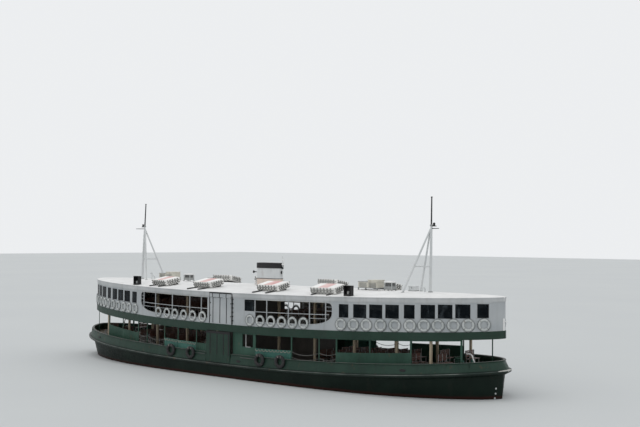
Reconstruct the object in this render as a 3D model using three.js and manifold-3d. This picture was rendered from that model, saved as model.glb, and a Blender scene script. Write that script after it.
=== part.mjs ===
// A two-deck, double-ended harbour passenger ferry, afloat.
// Millimetres. +X runs to one end (called fore), -X to the other (aft), +Y to port, +Z up.
// The origin is amidships on the centre line, at the waterline.

import * as THREE from "three";
import { mergeVertices } from "three/addons/utils/BufferGeometryUtils.js";
import Module from "manifold-3d";

const wasm = await Module();
wasm.setup();

// Driving dimensions

const SHEER_REACH = 16900; // where each sheer line has risen by its whole rise
const SEAT_GAP = 0.3; // between pieces that rest on each other
const TOP_GAP = 1.5; // under a deck or roof, where a straight edge meets its curve
const THIN_END = 40; // half breadth where an outline comes to its point

// Outlines seen from above: half breadth = half * (1 - (|x| / reach)^n)^(1 / m).
const SHELL = { half: 4330, reach: 16780, n: 4.09, m: 1.56 };
const UPPER = { half: 4225, reach: 16590, n: 2.034, m: 1.795 };

// Heights amidships, with the rise of each line towards the ends.
const DECK = { mid: 870, rise: 680 };
const BELT_TOP = { mid: 860, rise: 680 };
const BELT_FOOT = { mid: 690, rise: 680 };
const CAP_TOP = { mid: 1440, rise: 580 };
const PANEL_TOP = { mid: 1860, rise: 720 };
const FASCIA_FOOT = { mid: 2730, rise: 400 };
const CEILING = { mid: 2980, rise: 400 };
const UPPER_DECK = { mid: 3140, rise: 400 };
const RAIL_TOP = { mid: 4010, rise: 400 };
const WINDOW_SILL = { mid: 3860, rise: 370 };
const WINDOW_HEAD = { mid: 4590, rise: 370 };
const ROOF_FOOT = { mid: 4800, rise: 250 };
const ROOF_EDGE = { mid: 5020, rise: 250 };
const ROOF_CAMBER = 280;

// Lines of the hull below the belting: where it steps in under it, then from the waterline down.
const UNDER_BELT = { half: 4300, reach: 16570, n: 3.85, m: 1.5 };
const STEP_DROP = 120;
const HULL_LEVELS = [
  { z: 0, half: 4180, reach: 16480, n: 3.4, m: 1.4 },
  { z: -300, half: 4060, reach: 16250, n: 3, m: 1.32 },
  { z: -500, half: 3850, reach: 13700, n: 2.4, m: 1.25 },
  { z: -1150, half: 2950, reach: 13350, n: 2.1, m: 1.15 },
  { z: -1700, half: 1650, reach: 12950, n: 2, m: 1.1 },
  { z: -2080, half: 480, reach: 12550, n: 2, m: 1.1 },
  { z: -2230, half: 110, reach: 12350, n: 8, m: 1 },
];
const HULL_STEPS = 28;

const BELT = { out: 120, tipOut: 130 };
const BULWARK = { lean: 80, tipLean: 230, thick: 80, cap: 50, capOut: 40 };
const GANGWAY_GAP = 25;
const LOWER_GANGWAY = { x0: -1150, x1: 880, y: 4300, thick: 50, top: 2700 };
const UPPER_GANGWAY = { x0: -900, x1: 900, y: 4235, thick: 50, top: 4690 };

const FRAME = { inset: 75, tipInset: 90, thick: 40, sill: 90, header: 70 };
const WALL = { thick: 50, tipThick: 75 };
const FASCIA = { out: 40, wide: 100, tipWide: 160 };
const ROOF_OVERHANG = 50;

const TYRE = { out: 380, hole: 190, thick: 200, lift: 395 };
const TYRE_XS = [-4260, -2480, 3300, 4870];

// Upper windows of one end, as [near edge, far edge] along the ship.
const END_WINDOWS = [
  [8490, 9080],
  [9360, 10140],
  [10300, 11050],
  [11210, 11960],
  [12220, 12790],
  [13090, 13820],
  [13950, 14650],
  [14770, 15450],
  [15730, 16190],
];

// Lower side walls: where each opening starts and ends, and what it is open above.
const FORE_OPENINGS = {
  start: 960,
  last: 15060,
  rows: [
    [1710, 2540, "window"],
    [2740, 5310, "panel"],
    [5390, 7170, "floor"],
    [7230, 8260, "floor"],
    [8340, 10270, "panel"],
    [10330, 12510, "panel"],
    [12590, 14980, "floor"],
  ],
};
const AFT_OPENINGS = {
  start: 1230,
  last: 15060,
  rows: [
    [1310, 2190, "panel"],
    [2250, 3950, "panel"],
    [4010, 5310, "panel"],
    [5390, 7270, "floor"],
    [7330, 8310, "floor"],
    [8390, 10370, "panel"],
    [10430, 12560, "panel"],
    [12640, 14980, "floor"],
  ],
};
const PORTHOLE = { low: 1930, high: 2650 };

// Open bay of the upper side: where it starts, where the solid half wall ends, the sweep and the outer end.
const BAY = {
  fore: { start: 1920, halfWall: 2750, sweep: 6450, end: 8060, posts: [3610, 5160, 6600, 7650] },
  aft: { start: 1160, halfWall: 1160, sweep: 6350, end: 7960, posts: [1730, 2800, 4510, 6290, 7630] },
  kick: 290,
  head: 130,
  corner: 330,
  sweepTop: 960,
  post: 50,
  rungs: [1050, 1270, 1490],
};

// Life rings hung outside the upper wall of one quarter.
const LIFE_RING = { out: 320, hole: 195, lift: 345, proud: 30 };
const END_RING_XS = [8640, 9400, 10160, 10970, 11760, 12560, 13280, 13980, 14710, 15370, 16020];
const BAY_RING_XS = { fore: [2390, 3170, 3960, 4740, 5490, 6240], aft: [1570, 2470, 3310, 4170, 4990, 5890] };

// Barrier chains across the side openings: from, to, height above the deck at the posts, sag.
const CHAINS = [
  [5350, 7210, 940, 170],
  [5350, 7210, 640, 130],
  [7210, 8300, 940, 110],
  [7210, 8300, 640, 90],
];
const CHAIN_R = 18;

const PILLAR_XS = [2600, 5400, 8300, 11200, 13400];
const PILLAR = { y: 1950, wide: 120, girder: 120 };
const BENCH = { seat: 430, deep: 430, back: 860, backThick: 50, leg: 60, runner: 20 };
const rowsOf = (count, first, near, far) =>
  Array.from({ length: count }, (_, i) => [first + 950 * i, near, far]);
const LOWER_ROWS = [...rowsOf(6, 5700, 350, 1750), [12250, 900, 1900], [13900, 900, 1800]];
const UPPER_ROWS = rowsOf(9, 2600, 450, 1750);
const CASING = { long: 9000, wide: 2100 };
const TRUNK = { long: 1900, wide: 700 };
const FUNNEL = { long: 1950, wide: 760, top: 6700, cap: 330, capOut: 25 };
const FUNNEL_POLE = { x: 1060, r: 22, top: 7130, ties: [5900, 6350] };
const MAST = {
  foot: { fore: 12030, aft: 12260 },
  lean: { fore: 60, aft: -300 },
  r: 85,
  headR: 62,
  head: 9050,
  top: 10590,
  legTop: 8780,
  legIn: 60,
  brace: 6740,
  footX: 10790,
  footY: 870,
  arm: { fore: 500, aft: 930 },
  armZ: 8830,
  shelf: 330,
  shelfZ: 8960,
  lamp: { out: 180, r: 80, tall: 200 },
};
const RAFT = {
  long: 1670,
  wide: 1110,
  deep: 360,
  tilt: 0.19,
  skid: 20,
  edge: 60,
  rail: 60,
  railOut: 870,
  chock: 110,
};
const RAFT_XS = [-6580, -2630, 2840, 6980];
const RAFT_Y = 2700;

// A side light's box: its place along the ship, and how tall it is, on each side
const LIGHT_BOX = { y: 3230, long: 500, wide: 250 };
const LIGHT_BOXES = [
  { side: -1, x: 8880, tall: 560 },
  { side: 1, x: 8700, tall: 340 },
];

// Gear on the roof: size of each box, how far its fore half is raised, and how far it stands off the roof.
const ROOF_GEAR = [
  { name: "roof_vent_fore", x: 7960, y: 0, long: 1400, wide: 750, tall: 380, raised: 100, legs: 100 },
  { name: "roof_vent_aft", x: -9380, y: 0, long: 1400, wide: 750, tall: 380, raised: 100, legs: 100 },
  { name: "roof_fan_fore", x: 9290, y: 0, long: 560, wide: 420, tall: 440, raised: 0, legs: 80 },
  { name: "roof_fan_aft", x: -7440, y: 0, long: 640, wide: 420, tall: 420, raised: 0, legs: 80 },
  { name: "roof_locker", x: 10450, y: 600, long: 450, wide: 300, tall: 260, raised: 0, legs: 20 },
];

const RUDDER = { x: 14800, stock: 70, fore: 380, back: 760, top: -560, foot: -2000, thick: 110, trunk: 150 };
const PROPELLER = { x: 13900, z: -1300, hub: 130, r: 600, blades: 4, bossIn: 169, bossOut: 180 };
const SHAFT_TUBE = { x: 12800, r0: 150, r1: 110 };
const MOORING = { x: 14100, long: 1300, wide: 1500, bed: 40, bollardX: 300, bollardY: 520, capstanX: -330 };
const HELM = { x: 12000, reach: 14200, consoleX: 13500, consoleLong: 400, wheelX: 13440, wheelR: 330 };
const SOLE = { x0: 12200, x1: 15000, z0: -2230, z1: -2060, wide: 160 };

// Materials

const paint = (color, roughness = 0.55, metalness = 0) =>
  new THREE.MeshStandardMaterial({ color, roughness, metalness });
const GREEN = paint(0x2f5a48);
const DARK_GREEN = paint(0x14261f);
const WHITE = paint(0xdfe1e0);
const ROOF_WHITE = paint(0xf2f2f0);
const CREAM = paint(0xd9cba4);
const BROWN = paint(0x6b4126, 0.6);
const BLACK = paint(0x1c1c1d, 0.6);
const GREY = paint(0x8d9192);
const BRONZE = paint(0xa07a3c, 0.4, 0.9);

// Geometry helpers

// A manifold solid from a closed three.js geometry.
function solidOf(geometry) {
  const bare = geometry.clone();
  bare.deleteAttribute("normal");
  bare.deleteAttribute("uv");
  const merged = mergeVertices(bare, 1e-3);
  return new wasm.Manifold(
    new wasm.Mesh({
      numProp: 3,
      vertProperties: merged.attributes.position.array,
      triVerts: new Uint32Array(merged.index.array),
    }),
  );
}

function geometryOf(solid) {
  const mesh = solid.getMesh();
  return new THREE.BufferGeometry()
    .setAttribute("position", new THREE.BufferAttribute(mesh.vertProperties, 3))
    .setIndex(new THREE.BufferAttribute(mesh.triVerts, 1));
}

const join = (solids) => solids.reduce((all, next) => all.add(next));
const cut = (solid, cutters) => cutters.reduce((left, cutter) => left.subtract(cutter), solid);

// A box between two opposite corners.
function box(x0, x1, y0, y1, z0, z1) {
  const shape = new THREE.BoxGeometry(x1 - x0, y1 - y0, z1 - z0);
  return solidOf(shape.translate((x0 + x1) / 2, (y0 + y1) / 2, (z0 + z1) / 2));
}

// A round bar between two points.
function bar(from, to, r0, r1 = r0, sides = 8) {
  const a = new THREE.Vector3(...from);
  const b = new THREE.Vector3(...to);
  const shape = new THREE.CylinderGeometry(r1, r0, a.distanceTo(b), sides);
  shape.translate(0, a.distanceTo(b) / 2, 0);
  const up = new THREE.Vector3(0, 1, 0);
  const turn = new THREE.Quaternion().setFromUnitVectors(up, b.clone().sub(a).normalize());
  return solidOf(shape.applyQuaternion(turn).translate(a.x, a.y, a.z));
}

// A loft through rings of the same number of points. It is closed by its ends, or round on itself.
function loft(rings, round = false) {
  const count = rings[0].length;
  const points = rings.flat();
  const faces = [];
  const last = round ? rings.length : rings.length - 1;
  for (let i = 0; i < last; i++) {
    const here = i * count;
    const next = ((i + 1) % rings.length) * count;
    for (let j = 0; j < count; j++) {
      const k = (j + 1) % count;
      faces.push(here + j, next + j, next + k, here + j, next + k, here + k);
    }
  }
  if (!round) {
    const start = capFaces(rings[0]);
    const end = capFaces(rings[rings.length - 1]);
    const shift = (rings.length - 1) * count;
    start.forEach(([a, b, c]) => faces.push(a, b, c));
    end.forEach(([a, b, c]) => faces.push(shift + a, shift + c, shift + b));
  }
  const geometry = new THREE.BufferGeometry().setFromPoints(points).setIndex(faces);
  const made = solidOf(geometry);
  return made.volume() < 0 ? solidOf(flipped(geometry)) : made;
}

function flipped(geometry) {
  const index = geometry.index.array.slice();
  for (let i = 0; i < index.length; i += 3) [index[i + 1], index[i + 2]] = [index[i + 2], index[i + 1]];
  return geometry.clone().setIndex(new THREE.BufferAttribute(index, 1));
}

// Triangles that close the first ring of a loft. A ring that isn't flat is closed across, pair by pair.
function capFaces(ring) {
  const span = (axis) => Math.max(...ring.map((p) => p[axis])) - Math.min(...ring.map((p) => p[axis]));
  const flatIn = ["x", "y"].find((axis) => span(axis) < 1);
  if (!flatIn) return pairFaces(ring.length);
  const flat = ring.map((p) => new THREE.Vector2(flatIn === "x" ? p.y : p.x, p.z));
  const clockwise = THREE.ShapeUtils.isClockWise(flat);
  return THREE.ShapeUtils.triangulateShape(flat, []).map(([a, b, c]) => {
    const ab = flat[b].clone().sub(flat[a]);
    const ac = flat[c].clone().sub(flat[a]);
    const sameWay = ab.cross(ac) < 0 === clockwise;
    return sameWay ? [a, b, c] : [a, c, b];
  });
}

function pairFaces(count) {
  const faces = [];
  for (let j = 0; j < count / 2 - 1; j++) {
    faces.push([j, j + 1, count - 2 - j], [j, count - 2 - j, count - 1 - j]);
  }
  return faces;
}

// Outlines

const sheer = (line, x) => line.mid + line.rise * (x / SHEER_REACH) ** 2;

function grown(outline, out, tipOut = out) {
  return { ...outline, half: outline.half + out, reach: outline.reach + tipOut };
}

function halfBreadth(outline, x) {
  const share = Math.min(Math.abs(x) / outline.reach, 1);
  return Math.max(outline.half * (1 - share ** outline.n) ** (1 / outline.m), THIN_END);
}

// The point of an outline at an angle: 0 amidships to port, a quarter turn at the fore end.
function outlinePoint(outline, angle) {
  const s = Math.sin(angle);
  const c = Math.cos(angle);
  const x = outline.reach * Math.sign(s) * Math.abs(s) ** (2 / outline.n);
  const y = Math.sign(c) * Math.max(outline.half * Math.abs(c) ** (2 / outline.m), 0);
  return { x, y };
}

const angleAt = (outline, x) => Math.asin((Math.abs(x) / outline.reach) ** (outline.n / 2));

// Height of a lofted deck at a place: straight between the loft's stations, which lie on the sheer line.
function surface(line, outline) {
  const knots = [];
  for (let i = 0; i <= HULL_STEPS / 2; i++) {
    const { x } = outlinePoint(outline, (Math.PI * i) / HULL_STEPS);
    knots.push({ x, z: sheer(line, x) });
  }
  return (place) => {
    const x = Math.min(Math.abs(place), outline.reach - 1);
    const next = knots.findIndex((knot) => knot.x > x);
    const [a, b] = [knots[next - 1], knots[next]];
    return a.z + ((b.z - a.z) * (x - a.x)) / (b.x - a.x);
  };
}

const above = (height, lift) => (x) => height(x) + lift;
const along = (line, lift = 0) => (x) => sheer(line, x) + lift;

// A wall that runs round one end. Its section is a table of [outline, height at x].
// It starts at startX on the starboard side and ends there on the port side.
function endWall(end, startX, section, steps) {
  const rings = [];
  for (let i = 0; i <= steps; i++) {
    rings.push(
      section.map(([outline, height]) => {
        const start = angleAt(outline, startX);
        const angle = start + ((Math.PI - 2 * start) * i) / steps;
        const { x, y } = outlinePoint(outline, angle);
        return new THREE.Vector3(end * x, y, height(x));
      }),
    );
  }
  return loft(rings);
}

// A wall along one side between two places, thick towards the centre line.
function sideWall(side, x0, x1, outline, thick, low, high, steps) {
  const rings = [];
  for (let i = 0; i <= steps; i++) {
    const x = x0 + ((x1 - x0) * i) / steps;
    const y = halfBreadth(outline, x);
    rings.push([
      new THREE.Vector3(x, side * y, low(x)),
      new THREE.Vector3(x, side * y, high(x)),
      new THREE.Vector3(x, side * (y - thick), high(x)),
      new THREE.Vector3(x, side * (y - thick), low(x)),
    ]);
  }
  return loft(rings);
}

// A solid across the whole ship. Its section is a table of [outline, share of half breadth, height at x].
function shipLoft(section, steps) {
  const rings = [];
  for (let i = 0; i <= steps; i++) {
    const angle = -Math.PI / 2 + (Math.PI * i) / steps;
    rings.push(
      section.map(([outline, share, height]) => {
        const { x, y } = outlinePoint(outline, angle);
        const wide = Math.max(Math.abs(y), outline === section[0][0] ? THIN_END : THIN_END / 2);
        return new THREE.Vector3(x, share * wide, height(x));
      }),
    );
  }
  return loft(rings);
}

// Surfaces that other pieces rest on or reach up to

const DECK_EDGE = grown(UPPER, FASCIA.out);
const deckAt = above(surface(DECK, SHELL), SEAT_GAP);
const upperDeckAt = above(surface(UPPER_DECK, DECK_EDGE), SEAT_GAP);
const underFascia = along(FASCIA_FOOT, -TOP_GAP);
const underCeiling = along(CEILING, -TOP_GAP);
const underRoof = along(ROOF_FOOT, -TOP_GAP);

// Hull

function buildHull() {
  const down = [
    [SHELL, 1, along(DECK)],
    [SHELL, 1, along(BELT_FOOT, -20)],
    [UNDER_BELT, 1, along(BELT_FOOT, -STEP_DROP)],
  ];
  HULL_LEVELS.forEach((level) => down.push([level, 1, () => level.z]));
  const up = down.map(([outline, share, height]) => [outline, -share, height]).reverse();
  const body = shipLoft([...down, ...up], HULL_STEPS);
  const ends = [1, -1].flatMap((end) => {
    const xs = [end * SOLE.x0, end * SOLE.x1].sort((a, b) => a - b);
    return [
      box(xs[0], xs[1], -SOLE.wide / 2, SOLE.wide / 2, SOLE.z0, SOLE.z1),
      bar([end * RUDDER.x, 0, RUDDER.top + 60], [end * RUDDER.x, 0, 0], RUDDER.trunk, RUDDER.trunk, 12),
      shaftTube(end),
    ];
  });
  return join([body, ...ends]);
}

// The tube that carries the propeller's shaft out of the hull.
function shaftTube(end) {
  const face = PROPELLER.x - PROPELLER.bossIn - SEAT_GAP;
  const { x, r0, r1 } = SHAFT_TUBE;
  return bar([end * x, 0, PROPELLER.z], [end * face, 0, PROPELLER.z], r0, r1, 12);
}

function buildBelting() {
  const out = grown(SHELL, BELT.out, BELT.tipOut);
  const near = grown(SHELL, SEAT_GAP);
  const bevel = 40;
  const steps = 2 * HULL_STEPS;
  const section = [
    [near, BELT_FOOT, 0],
    [out, BELT_FOOT, bevel],
    [out, BELT_TOP, -bevel],
    [near, BELT_TOP, 0],
  ];
  const rings = [];
  const addRing = (angle, side) =>
    rings.push(
      section.map(([outline, line, lift]) => {
        const { x, y } = outlinePoint(outline, angle);
        return new THREE.Vector3(x, side * Math.max(Math.abs(y), THIN_END), sheer(line, x) + lift);
      }),
    );
  for (let i = 0; i < steps; i++) {
    const angle = (2 * Math.PI * i) / steps;
    const quarter = (4 * i) / steps;
    if (quarter <= 1) addRing(angle, 1);
    if (quarter >= 1 && quarter <= 3) addRing(angle, -1);
    if (quarter >= 3) addRing(angle, 1);
  }
  return loft(rings, true);
}

function buildBulwark(end) {
  const top = grown(SHELL, -BULWARK.lean, -BULWARK.tipLean);
  const inner = (outline) => grown(outline, -BULWARK.thick, -1.4 * BULWARK.thick);
  const startX = end > 0 ? LOWER_GANGWAY.x1 + GANGWAY_GAP : -LOWER_GANGWAY.x0 + GANGWAY_GAP;
  const section = [
    [SHELL, deckAt],
    [top, along(CAP_TOP, -BULWARK.cap)],
    [grown(top, BULWARK.capOut), along(CAP_TOP, -BULWARK.cap)],
    [grown(top, BULWARK.capOut), along(CAP_TOP)],
    [inner(top), along(CAP_TOP)],
    [inner(SHELL), deckAt],
  ];
  const wall = endWall(end, startX, section, 24);
  const tyres = TYRE_XS.filter((x) => x * end > 0).flatMap((x) => [tyre(x, -1), tyre(x, 1)]);
  return join([wall, ...tyres]);
}

// A tyre hung flat against the bulwark as a fender, sunk a little way into its plating.
function tyre(x, side) {
  const tube = (TYRE.out - TYRE.hole) / 2;
  const ring = new THREE.TorusGeometry(TYRE.out - tube, tube, 5, 12);
  const sunk = 60;
  const y = side * (halfBreadth(SHELL, x) - sunk + TYRE.thick / 2);
  ring.scale(1, 1, TYRE.thick / (2 * tube)).rotateX(Math.PI / 2);
  return solidOf(ring.translate(x, y, sheer(DECK, x) + TYRE.lift));
}

// A life ring hung flat on the upper wall, sunk a little way into it.
function lifeRing(end, side, x) {
  const tube = (LIFE_RING.out - LIFE_RING.hole) / 2;
  const ring = new THREE.TorusGeometry(LIFE_RING.out - tube, tube, 3, 7);
  const step = 50;
  const turn = Math.atan((halfBreadth(UPPER, x - step) - halfBreadth(UPPER, x + step)) / (2 * step));
  const y = halfBreadth(UPPER, x) + LIFE_RING.proud;
  ring.rotateX(Math.PI / 2).rotateZ(-end * side * turn);
  return solidOf(ring.translate(end * x, side * y, sheer(UPPER_DECK, x) + LIFE_RING.lift));
}

// Lower deck

const FRAME_LINE = grown(UPPER, -FRAME.inset, -FRAME.tipInset);

// A block across one side between two places, for cutting an opening.
function sideCutter(side, x0, x1, low, high) {
  const ring = (x) => [[0, low(x)], [0, high(x)], [5200, high(x)], [5200, low(x)]];
  return loft([x0, x1].map((x) => ring(x).map(([y, z]) => new THREE.Vector3(x, side * y, z))));
}

// The lower side wall of one quarter, as a strip from the gangway to the last post, with its openings cut.
function buildSideFrame(end, side) {
  const table = end > 0 ? FORE_OPENINGS : AFT_OPENINGS;
  const { start, last } = table;
  const strip = sideWall(side, end * start, end * last, FRAME_LINE, FRAME.thick, deckAt, underFascia, 12);
  const sill = above(deckAt, FRAME.sill);
  const head = above(underFascia, -FRAME.header);
  const foot = { floor: sill, panel: along(PANEL_TOP), window: () => PORTHOLE.low };
  const openings = table.rows.map(([x0, x1, kind]) =>
    sideCutter(side, end * x0, end * x1, foot[kind], kind === "window" ? () => PORTHOLE.high : head),
  );
  const chains = CHAINS.map((row) => chain(end, side, row));
  return join([cut(strip, openings), ...chains]);
}

// A chain that hangs from post to post along the side.
function chain(end, side, [x0, x1, lift, sag]) {
  const steps = 6;
  const rings = [];
  for (let i = 0; i <= steps; i++) {
    const share = i / steps;
    const x = x0 + (x1 - x0) * share;
    const y = halfBreadth(FRAME_LINE, x) - FRAME.thick / 2;
    const z = deckAt(x) + lift - 4 * sag * share * (1 - share);
    const corners = [[-CHAIN_R, 0], [0, CHAIN_R], [CHAIN_R, 0], [0, -CHAIN_R]];
    rings.push(corners.map(([dy, dz]) => new THREE.Vector3(end * x, side * y + dy, z + dz)));
  }
  return loft(rings);
}

// A gangway hinged along its foot, standing upright in the ship's side.
function buildGangway(g, side, deck) {
  const r = g.thick / 2;
  const z = deck(g.x0) + r;
  const leaf = box(g.x0, g.x1, side * g.y - r, side * g.y + r, z, g.top);
  const knuckle = bar([g.x0, side * g.y, z], [g.x1, side * g.y, z], r, r, 12);
  return join([leaf, knuckle]);
}

// A girder under the deck above, with its row of pillars.
function buildGirder(side, floor, top, xs) {
  const y = PILLAR.y;
  const half = PILLAR.wide / 2;
  const reach = xs[xs.length - 1] + 200;
  const steps = 16;
  const rings = [];
  for (let i = 0; i <= steps; i++) {
    const x = -reach + (2 * reach * i) / steps;
    const high = top(x);
    const low = high - PILLAR.girder;
    const section = [[-half, low], [-half, high], [half, high], [half, low]];
    rings.push(section.map(([dy, z]) => new THREE.Vector3(x, side * y + dy, z)));
  }
  const pillars = xs.flatMap((x) =>
    [x, -x].map((px) =>
      box(
        px - half,
        px + half,
        side * y - half,
        side * y + half,
        floor(Math.abs(px) + half),
        top(px) - PILLAR.girder / 2,
      ),
    ),
  );
  return join([loft(rings), ...pillars]);
}

// Benches in rows across the ship, joined along the deck by a runner. A row is [x, near y, far y].
function buildBenches(end, side, floor, rows) {
  const overhang = 300;
  const mid = 1400;
  const steps = 6;
  const x0 = rows[0][0] - overhang;
  const x1 = rows[rows.length - 1][0] + overhang;
  const rings = [];
  for (let i = 0; i <= steps; i++) {
    const x = x0 + ((x1 - x0) * i) / steps;
    const [near, far] = [mid - BENCH.leg, mid + BENCH.leg];
    const section = [[near, 0], [near, BENCH.runner], [far, BENCH.runner], [far, 0]];
    rings.push(section.map(([y, z]) => new THREE.Vector3(end * x, side * y, floor(x) + z)));
  }
  const benches = rows.map(([x, y0, y1]) =>
    bench(end, side, x, y0, y1, floor(x + BENCH.deep / 2) + BENCH.runner / 3),
  );
  return join([loft(rings), ...benches]);
}

// One bench: its seat and back as one profile, extruded across.
function bench(end, side, x, y0, y1, z) {
  const half = BENCH.deep / 2;
  const profile = [
    [-half, 0],
    [-half, BENCH.back],
    [-half + BENCH.backThick, BENCH.back],
    [-half + BENCH.backThick, BENCH.seat],
    [half, BENCH.seat],
    [half, 0],
  ];
  const ring = (y) => profile.map(([dx, dz]) => new THREE.Vector3(end * (x + dx), side * y, z + dz));
  return loft([ring(y0), ring(y1)]);
}

function buildCasing() {
  const half = CASING.long / 2;
  const rings = [];
  for (let i = 0; i <= 6; i++) {
    const x = -half + (CASING.long * i) / 6;
    const low = deckAt(x);
    const high = underCeiling(x);
    const y = CASING.wide / 2;
    rings.push([[-y, low], [-y, high], [y, high], [y, low]].map(([py, pz]) => new THREE.Vector3(x, py, pz)));
  }
  return loft(rings);
}

// Mooring gear of one end: a capstan and a pair of bollards on one bed plate.
function buildMooringGear(end) {
  const { x, long, wide, bed, bollardX, bollardY, capstanX } = MOORING;
  const low = deckAt(x + long / 2);
  const foot = low + bed / 2;
  const at = (dx) => end * (x + dx);
  const plate = solidOf(new THREE.BoxGeometry(long, wide, bed).translate(at(0), 0, foot));
  const profile = [[0, 0], [210, 0], [200, 60], [120, 140], [105, 380], [190, 470], [190, 540], [0, 560]];
  const capstan = new THREE.LatheGeometry(profile.map(([r, z]) => new THREE.Vector2(r, z)), 10);
  const turned = solidOf(capstan.rotateX(Math.PI / 2).translate(at(capstanX), 0, foot));
  const bollards = [-bollardY, bollardY].flatMap((y) => [
    bar([at(bollardX), y, foot], [at(bollardX), y, foot + 400], 90, 90, 8),
    bar([at(bollardX), y, foot + 400], [at(bollardX), y, foot + 450], 115, 115, 8),
  ]);
  return join([plate, turned, ...bollards]);
}

// Upper deck

function buildUpperDeck() {
  const inner = grown(DECK_EDGE, -FASCIA.wide, -FASCIA.tipWide);
  const foot = along(FASCIA_FOOT);
  const top = along(UPPER_DECK);
  const ceiling = along(CEILING);
  return shipLoft(
    [
      [DECK_EDGE, 1, foot],
      [DECK_EDGE, 1, top],
      [DECK_EDGE, -1, top],
      [DECK_EDGE, -1, foot],
      [inner, -1, foot],
      [inner, -1, ceiling],
      [inner, 1, ceiling],
      [inner, 1, foot],
    ],
    HULL_STEPS,
  );
}

// The outline of one open bay in the ship's side, drawn in X and Z.
function bayShape(bay) {
  const low = sheer(UPPER_DECK, bay.sweep) + BAY.kick;
  const mid = sheer(UPPER_DECK, 0) + BAY.kick;
  const high = sheer(ROOF_FOOT, bay.start) - BAY.head;
  const sweepTop = low + BAY.sweepTop - BAY.kick;
  const halfWallTop = sheer(RAIL_TOP, bay.start);
  const shape = new THREE.Shape();
  shape.moveTo(bay.start, high);
  if (bay.halfWall > bay.start) {
    shape.lineTo(bay.start, halfWallTop);
    shape.lineTo(bay.halfWall, halfWallTop);
  }
  shape.lineTo(bay.halfWall, mid);
  shape.lineTo(bay.sweep, low);
  shape.quadraticCurveTo(bay.end, low + 60, bay.end, sweepTop);
  shape.lineTo(bay.end, high + 60 - BAY.corner);
  shape.quadraticCurveTo(bay.end, high + 60, bay.end - BAY.corner, high + 60);
  shape.closePath();
  return shape;
}

// A cutter that runs through both sides of the ship.
function throughBoth(shape, end, curveSegments = 5) {
  const wide = 10400;
  const block = new THREE.ExtrudeGeometry(shape, { depth: wide, bevelEnabled: false, curveSegments });
  block.rotateX(Math.PI / 2).translate(0, wide / 2, 0);
  if (end > 0) return solidOf(block);
  block.scale(-1, 1, 1);
  return solidOf(flippedIndexed(block));
}

function flippedIndexed(geometry) {
  const bare = geometry.clone();
  bare.deleteAttribute("normal");
  bare.deleteAttribute("uv");
  return flipped(mergeVertices(bare, 1e-3));
}

function buildEndWall(end) {
  const bay = end > 0 ? BAY.fore : BAY.aft;
  const ringXs = end > 0 ? BAY_RING_XS.fore : BAY_RING_XS.aft;
  const startX = UPPER_GANGWAY.x1 + GANGWAY_GAP;
  const inner = grown(UPPER, -WALL.thick, -WALL.tipThick);
  const section = [
    [UPPER, upperDeckAt],
    [UPPER, underRoof],
    [inner, underRoof],
    [inner, upperDeckAt],
  ];
  const wall = endWall(end, startX, section, 28);
  const windows = END_WINDOWS.map(([x0, x1]) => {
    const x = (x0 + x1) / 2;
    const ex = [end * x0, end * x1].sort((a, b) => a - b);
    return box(ex[0], ex[1], -5200, 5200, sheer(WINDOW_SILL, x), sheer(WINDOW_HEAD, x));
  });
  const open = cut(wall, [throughBoth(bayShape(bay), end), ...windows]);
  const rails = [-1, 1].flatMap((side) => {
    const rail = sideWall(
      side,
      end * (bay.halfWall - 60),
      end * (bay.end - 200),
      grown(UPPER, -5),
      40,
      along(RAIL_TOP, -50),
      along(RAIL_TOP),
      4,
    );
    const posts = bay.posts.map((x) => {
      const y = halfBreadth(UPPER, x) - 5;
      const ys = [side * y, side * (y - 40)].sort((a, b) => a - b);
      const low = sheer(UPPER_DECK, x) + BAY.kick / 2;
      const high = sheer(ROOF_FOOT, x) - 40;
      return box(end * x - BAY.post / 2, end * x + BAY.post / 2, ys[0], ys[1], low, high);
    });
    const rings = [...END_RING_XS, ...ringXs].map((x) => lifeRing(end, side, x));
    const [stile, edge] = [bay.posts[bay.posts.length - 1], bay.end + 20];
    const rungs = BAY.rungs.map((lift) => {
      const ends = [stile, edge].map((x) => [
        end * x,
        side * (halfBreadth(UPPER, x) - 25),
        sheer(UPPER_DECK, stile) + lift,
      ]);
      return bar(...ends, 16, 16, 6);
    });
    return [rail, ...posts, ...rings, ...rungs];
  });
  return join([open, ...rails, nosePost(end)]);
}

// The stout white post at the very tip of the upper wall.
function nosePost(end) {
  const x = end * (UPPER.reach - 30);
  return bar([x, 0, upperDeckAt(x) + 30], [x, 0, upperDeckAt(x) + 560], 60, 60, 8);
}

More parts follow.
